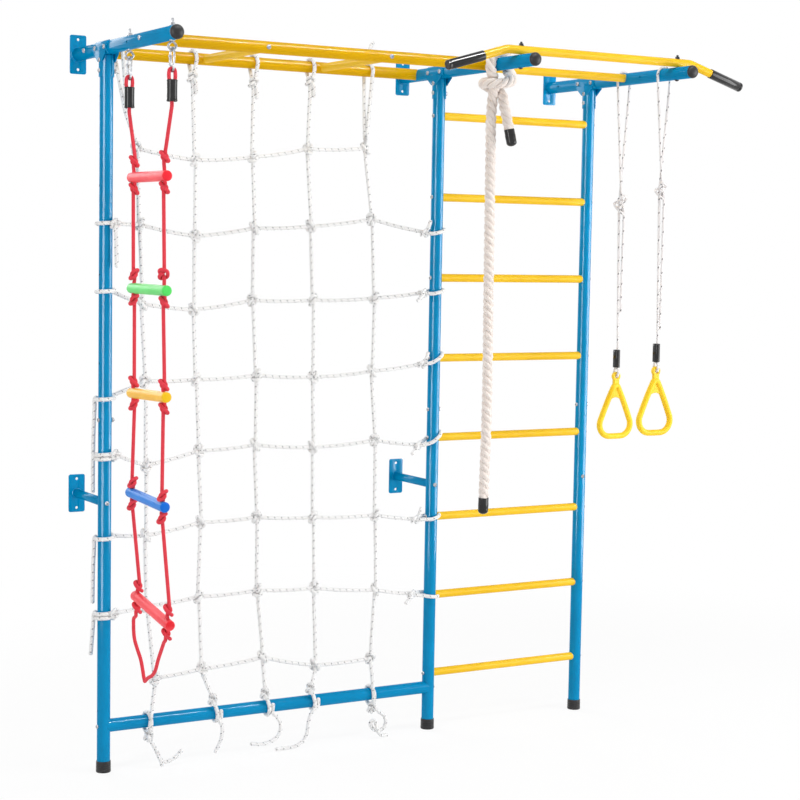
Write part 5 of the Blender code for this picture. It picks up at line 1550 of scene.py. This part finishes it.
def add_floor():
    """A pale floor that shows as white, with the object's soft shadow on it."""
    outline = [(0, -0.02), (9.0, -0.02), (9.0, 0.0), (0, 0.0)]
    item = as_object("studio_floor", Shape().turned(outline, 96, (-0.25, 0, -0.0002)))
    floor = Finish("white_studio_floor", None, Roughness=0.9)
    apart = floor.node("VectorMath", {0: floor.place}, "Value", operation="LENGTH")
    cloud = floor.noise(3.0)
    tone = floor.mix(cloud, colour(246, 246, 246), colour(250, 250, 250))
    floor.feed(floor.shader, {"Base Color": tone})
    share = floor.seen() * (0.88 + 0.12 * floor.rise(apart, 1.4, 3.0))
    glow = floor.node("Emission", {"Color": (1, 1, 1, 1), "Strength": 1.0})
    mixed = floor.node("MixShader", {0: share, 1: Value(floor, floor.shader.outputs[0]), 2: glow})
    floor.feed(floor.nodes["Material Output"], {"Surface": mixed})
    item.data.materials.append(floor.material)


def add_world():
    world = bpy.data.worlds.new("white_studio")
    bpy.context.scene.world = world
    sky = Nodes(world)
    soft = sky.nodes["Background"]
    sky.feed(soft, {"Color": (1, 1, 1, 1), "Strength": 0.37})
    shown = sky.node("Background", {"Color": (1, 1, 1, 1), "Strength": 1.0})
    blend = sky.node("MixShader", {0: sky.seen(), 1: Value(sky, soft.outputs[0]), 2: shown})
    sky.feed(sky.nodes["World Output"], {"Surface": blend})


add_camera()
make_ladder_rope()
make_climbing_rope()
make_ring_ropes()
make_net()
make_posts()
make_feet()
make_arms()
make_clamps()
make_bars()
make_pull_up_bar()
make_eye_bolts()
make_hooks()
make_steps()
make_rings()
add_floor()
add_world()
painted = pieces_in("painted_pieces", BLUE, DEEP_YELLOW, YELLOW)
shiny = pieces_in("painted_and_black_pieces", BLUE, DEEP_YELLOW, YELLOW, GLOSS_BLACK)
add_light("right_softbox", (2.9, -2.6, 1.3), (-0.2, 0, 1.1), (2.4, 2.8), 104)
add_light("left_strip", (-3.6, -1.5, 1.9), (-0.3, 0, 1.5), (0.80, 2.0), 34)
add_light("top_softbox", (-0.3, -1.6, 4.4), (-0.3, -0.1, 0.9), (3.0, 0.6), 56)
add_light("back_softbox", (-1.2, 4.2, 2.6), (-0.3, 0, 1.0), (3.0, 2.2), 85)
add_light("left_sheen", (-3.0, -1.15, 1.3), (-0.6, 0, 1.3), (1.5, 2.6), 330, painted)
add_light("top_sheen", (-0.3, -2.2, 4.4), (-0.3, 0, 1.0), (4.0, 0.30), 520, shiny)
add_light("right_sheen", (3.0, -1.3, 1.3), (-0.3, 0, 1.3), (2.4, 2.6), 480, painted)

bpy.context.scene.view_settings.view_transform = "Standard"
